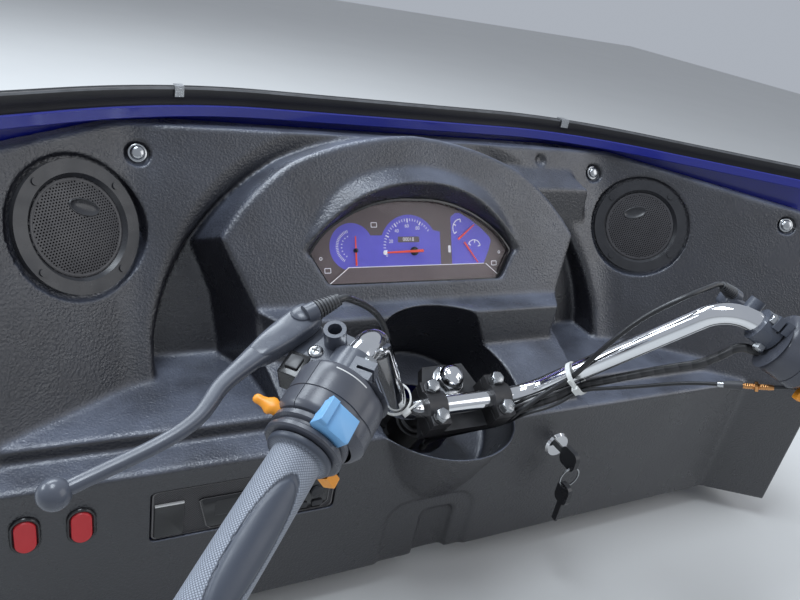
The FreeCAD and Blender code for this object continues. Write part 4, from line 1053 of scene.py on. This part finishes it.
def add_lever(name, place, node):
    """Lever: eased blade with rounded section, flat root with its pivot, and the ball."""
    fine = []
    for p, q in zip(BLADE, BLADE[1:]):
        fine += [tuple(v + (w - v) * k / 4 for v, w in zip(p, q)) for k in range(4)]
    fine.append(BLADE[-1])
    for _ in range(3):
        eased = []
        for near in zip(fine, fine[1:], fine[2:]):
            eased.append(tuple((u + 2 * v + w) / 4 for u, v, w in zip(*near)))
        fine = fine[:1] + eased + fine[-1:]

    def squared(v, half):
        return math.copysign(abs(v) ** 0.72, v) * half
    rings = []
    for i, (along, across, half_w, half_t) in enumerate(fine):
        p, q = fine[max(0, i - 1)], fine[min(len(fine) - 1, i + 1)]
        d = Vector((q[0] - p[0], q[1] - p[1])).normalized()
        ring = []
        for t in angles(28):
            u, v = squared(math.cos(t), half_w), squared(math.sin(t), half_t)
            ring.append(place(along - d.y * u, across + d.x * u, BLADE_LOW + v))
        rings.append(ring)
    s = Shape()
    s.skin(rings, "lever")
    # The root: a plate with a rolled edge, hollowed along its top.
    edge = [(-ROOT_T, 2), (-ROOT_T + 1.4, 0.5), (-ROOT_T + 3, 0), (-2.6, 0), (-1.2, 0.5), (-0.3, 1.5),
            (0.2, 3), (0.7, 5.5), (0.9, 8.5)]
    s.stack(place, smooth_outline(ROOT), edge, "lever")
    pin = [(-1.2, 9), (0.4, 9), (2, 8.4), (3.2, 6.6), (3.8, 3.6), (4, 0.3)]
    s.turn(place.shift(-6, 3), pin, "lever", 36)
    ball = place.shift(*BALL_AT)
    arc = [math.pi * i / 18 for i in range(19)]
    s.turn(Place(ball.at, ball.b, ball.c, ball.a),
           [(-BALL_R * math.cos(a), max(0.05, BALL_R * math.sin(a))) for a in arc], "lever", 36)
    s.make(name, "steering", node, sharp=34)


def left_side(degrees, far, t):
    """Point that far out on the left bar's side, and the direction outwards."""
    x, y = polar(1, math.radians(degrees))
    out = (bar_l.a * x + bar_l.b * y).normalized()
    return bar_l.shift(0, 0, t).at + out * far, out


def add_switches():
    """Blue rocker with its raised end, and the winged toggle."""
    at, out = left_side(ROCKER_DEG, 27, 92)
    key = Place(at, bar_l.c.cross(out), bar_l.c, out)
    s = Shape()
    outline = [(-12, -9), (11, -10), (12.5, -8), (12.5, 9), (11, 10), (-11, 10), (-12.5, 8)]
    s.stack(key, outline, ((-4, 0), (4.4, 0), (5.6, 0.5), (6, 1.4)), "sky")
    raised = [(6.5, -9.6), (12.3, -9.6), (12.3, 9.6), (6.5, 9.6)]
    s.stack(key, raised, ((2, 0), (7.2, 0.1), (8.2, 0.8), (8.5, 1.8)), "sky")
    s.make("dip_rocker", "steering", "dip_switch")

    at, out = left_side(TOGGLE_DEG, 26, 93)
    key = Place(at, bar_l.c, out.cross(bar_l.c), out)
    s = Shape()
    # Height, both radii of the oval, and how far it leans.
    stations = ((-4, 5.2, 4.2, 0), (3, 5, 3.8, 0), (5, 6.4, 4, -0.6), (7, 6.2, 3.8, -1.2),
                (10, 4, 3.2, -2), (13, 3.2, 2.9, -2.8), (15, 3.4, 3, -3.2), (17, 2.8, 2.4, -3.6),
                (18, 1.2, 1, -3.8))
    s.skin([[key(x, y, z) for x, y in oval(0, lean, rx, ry, 24)] for z, rx, ry, lean in stations], "orange")
    s.make("turn_toggle", "steering", "turn_switch")


def add_cable_fittings():
    """Boots of the clutch and brake cable, and the throttle cable's brass adjuster, boot and ferrule."""
    rib = ((3.4, 7.2), (4.6, 7.2), (5, 6.1), (5.8, 6.1))
    ribs = [(z + 2.6 * i, r - 0.35 * i) for i in range(6) for z, r in rib]
    for name, place in (("clutch_boot", bar_l), ("brake_boot", perch_r)):
        boot = place.shift(*BOOT_AT).facing(BOOT_TO - BOOT_AT)
        s = Shape()
        s.turn(boot, [(3.2, 4)] + ribs + [(19.4, 5), (22.3, 4), (22.4, 2)], "boot", 36)
        s.turn(boot, [(-6, 7.5), (2.2, 7.5), (2.9, 6.9), (3.4, 5)], "lever", 32)
        s.make(name, "steering")
    start = bar_r(*THROTTLE_FROM) / MM
    d = (riser_r(*THROTTLE_TO) / MM - start).normalized()
    side = d.orthogonal().normalized()
    run = Place(start, side, d.cross(side), d)
    thread = [(i * 2.0 + z, r) for i in range(11) for z, r in ((-0.9, 3.1), (0, 2.7))]
    s = Shape()
    s.turn(run, [(-6, 2.4)] + thread + [(22, 2.6)], "brass", 24)
    bolt_head(s, run.shift(0, 0, 8), 5.8, 3.4, "brass", 0.6)
    s.turn(run, [(21.5, 2), (21.8, 4.6), (24, 4.8), (33, 4.3), (39, 3.4), (39.4, 2)], "boot", 28)
    s.turn(run, [(39.2, 1.9), (39.3, 3.1), (45, 3), (45.6, 2.3), (45.7, 1.9)], "zinc", 24)
    s.make("throttle_adjuster", "steering")


def add_fasteners():
    """Screws and clamp bolts of the two perches, and the line printed on the left housing."""
    for name, place in (("perch_bolts_l", bar_l), ("perch_bolts_r", perch_r)):
        s = Shape()
        cross_screw(s, place.shift(27, 6, 37).facing((0, 1, 0)), 5.6, "zinc")
        ear = place.shift(-12.5, 10.5, 36.2).facing((0, 0, -1))
        s.turn(ear, [(-0.3, 6.2), (0.8, 6.2), (0.9, 5.4)], "zinc", 28)
        bolt_head(s, ear.shift(0, 0, 0.8), 5.8, 4.6, "zinc")
        low = place.shift(0, 0, 44).facing((-0.3, -0.95, 0))
        bolt_head(s, low.shift(0, 0, 16.2), 6, 6, "zinc")
        s.make(name, "steering")
    s = Shape()
    rings = []
    for k in range(13):
        a = math.radians(92 + 4.0 * k)
        far = egg(HOUSE_R, BULGE_R - 0.4, a)
        rings.append([bar_l(*polar(far + d, a), HOUSE_T0 + 6 + t)
                      for d, t in ((-0.5, 0), (0.12, 0), (0.12, 0.9), (-0.5, 0.9))])
    s.skin(rings, "mark")
    s.make("housing_line", "steering")


def add_perch_switch():
    """Small black switch box on the tab of the clutch perch, with its raised cover."""
    s = Shape()
    top = bar_l.shift(35, 7.2, 53).facing((0, 1, 0))
    s.slab(top, rounded(-10.5, 10.5, -8, 8, 2), -17.5, 0, "bezel", 1.2)
    s.slab(top, rounded(-6, 5, -5, 5, 1.2), -0.5, 2.4, "satin", 0.8)
    s.make("perch_switch", "steering")


# Screen base.

def plan_line(x, off, ease):
    """Y of the screen base at x: straight in the middle, folded back past FLAT_HALF with an eased corner."""
    d = abs(x) - FLAT_HALF
    if abs(d) < ease:
        return -off - TOE * (d + ease) ** 2 / (4 * ease)
    return -off - TOE * max(d, 0)


def run_along(shape, profile, z, x0, x1, steps, key, crisp_to=-1):
    """Profile carried along the screen base, its corner crisp as far as that distance from the front."""
    rings = []
    for i in range(steps + 1):
        x = x0 + (x1 - x0) * i / steps
        rings.append([Vector((x, plan_line(x, off, CRISP_EASE if off <= crisp_to else EASE), z + h)) * MM
                      for off, h in profile])
    shape.skin(rings, key)


def add_screen_base():
    """Rail, rubber seal with a painted highlight line in its glass slot, and clips, along one eased line."""
    low, high = box_of("screen_rail")
    z, half = low.z, high.x
    s = Shape()
    run_along(s, RAIL, z, -half, half, LINE_STEPS, "blue_paint", crisp_to=3)
    s.make("rail", "dash", "screen_rail")
    s = Shape()
    run_along(s, SEAL, z, -half, half, LINE_STEPS, "rubber")
    # Painted highlight: grey strip along the seal's glass slot.
    run_along(s, GLASS_LINE_HIGHLIGHT, z, -half, half, LINE_STEPS, "trim")
    s.make("seal", "dash", "screen_seal")
    for side in "lr":
        x = centre_of("glass_clip_" + side).x
        s = Shape()
        run_along(s, CLIP, z, x - CLIP_HALF, x + CLIP_HALF, CLIP_STEPS, "zinc")
        s.make("clip_" + side, "dash", "glass_clip_" + side)


# Dash moulding.

def crispness(v):
    """How far a point of the dash may soften: little at the fitted openings and rims, 1 elsewhere."""
    p = v / MM
    near = min((p - c).length - reach for c, reach in CRISP_SPOTS)
    if p.y < FASCIA_BACK_Y:
        for low, high in CRISP_BOXES:
            near = min(near, max(low.x - p.x, p.x - high.x, low.z - p.z, p.z - high.z))
    return max(LEAST_SOFT, min(1, near / SOFT_REACH))


def modify(piece, kind, **settings):
    modifier = piece.modifiers.new(kind.lower(), kind)
    for key, value in settings.items():
        setattr(modifier, key, value)


def apply_modifiers(piece):
    mesh = evaluated(piece)
    piece.modifiers.clear()
    piece.data = mesh


def add_dash():
    """The moulded panel with soft edges, its glass opening cut down to the sill."""
    piece = linked("dash_moulding", NODES["dash_panel"].data.copy())
    cut = Shape()
    opening = inset(hull_on("cluster_lens", face), -GLASS_CUT_MARGIN)
    cut.stack(face, opening, ((-40, 0), (GLASS_CUT_DEEP, 0)), "dash")
    cutter = cut.mesh_object("opening_cut")
    modify(piece, "BOOLEAN", object=cutter)
    modify(piece, "DISPLACE", mid_level=0, strength=FATTEN)
    modify(piece, "REMESH", mode="VOXEL", voxel_size=VOXEL)
    apply_modifiers(piece)
    bpy.data.objects.remove(cutter)
    group = piece.vertex_groups.new(name="soft")
    for v in piece.data.vertices:
        group.add([v.index], crispness(v.co), "REPLACE")
    modify(piece, "SMOOTH", factor=0.5, iterations=SOFT_ROUNDS, vertex_group="soft")
    modify(piece, "DISPLACE", mid_level=0, strength=-FATTEN)
    modify(piece, "DECIMATE", ratio=min(1, DASH_FACES / len(piece.data.polygons)))
    apply_modifiers(piece)
    piece.vertex_groups.clear()
    mesh = piece.data
    mesh.materials.clear()
    mesh.materials.append(M["dash"])
    mesh.shade_smooth()
    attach(piece, "dash")
    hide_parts("dash_panel")


# Camera and stage.

def add_camera():
    right, down = [(X_AXIS * x + DOWN_AXIS * y + DEEP_AXIS * z).normalized()
                   for x, y, z in (CAM_RIGHT, CAM_DOWN)]
    data = bpy.data.cameras.new("photo_camera")
    data.sensor_width = SENSOR_MM
    data.lens = LENS_MM
    scene.camera = linked("photo_camera", data)
    turn = Matrix((right, -down, right.cross(-down))).transposed()
    scene.camera.matrix_world = Matrix.Translation(CAM_AT) @ turn.to_4x4()


def area_light(name, at, aim, size, watts, colour):
    data = bpy.data.lights.new(name, "AREA")
    data.shape = "RECTANGLE"
    data.size, data.size_y = size
    data.energy = watts
    data.color = colour
    light = linked(name, data)
    light.location = at
    light.rotation_euler = (Vector(aim) - Vector(at)).to_track_quat("-Z", "Y").to_euler()


def add_stage():
    """Pale floor just under the part, a plain sky and the lamps."""
    mesh = bpy.data.meshes.new("floor")
    floor_z = cad_box[0][2] - FLOOR_DROP
    mesh.from_pydata([(x * FLOOR_HALF, y * FLOOR_HALF, floor_z) for x, y in CORNERS], [], [(0, 1, 2, 3)])
    floor = linked("floor", mesh)
    n = Nodes("floor")
    n.set("Base Color", n.mix(n.noise(3, 4), (0.62, 0.62, 0.61, 1), (0.66, 0.66, 0.65, 1)))
    n.set("Roughness", 0.9)
    mesh.materials.append(n.mat)
    world = bpy.data.worlds.new("studio")
    world.use_nodes = True
    sky = world.node_tree.nodes["Background"]
    sky.inputs["Color"].default_value = WORLD_COLOUR
    sky.inputs["Strength"].default_value = WORLD_LEVEL
    scene.world = world
    for lamp in LAMPS:
        area_light(*lamp)


add_camera()
add_stage()
add_dash()
add_dial()
add_needles()
add_sill()
add_lens()
for side, place in (("r", speaker_r), ("l", speaker_r.flip())):
    add_grille("grille_" + side, place, "speaker_grille_" + side)
add_radio()
for side in ("outer", "inner"):
    add_rocker("rocker_cap_" + side, "rocker_" + side)
for side, place in (("r", speaker_r), ("l", speaker_r.flip())):
    add_bolt("bolt_inner_" + side, "dash_bolt_inner_" + side, WALL_NORMAL)
    add_bolt("bolt_outer_" + side, "dash_bolt_outer_" + side, place.c)
add_stem_nut()
add_clamp_bolts()
add_housing("left_housing", bar_l, "switch_housing")
add_housing("right_housing", bar_r, "throttle_housing", ((84, 205, 4),))
add_grip("grip_left", bar_l, "grip_l")
add_grip("grip_right", bar_r, "grip_r")
add_lever("lever_left", lever_l, "clutch_lever")
add_lever("lever_right", lever_r, "brake_lever")
add_switches()
add_cable_fittings()
add_fasteners()
add_perch_switch()
add_screen_base()
scene.view_settings.view_transform = "Standard"
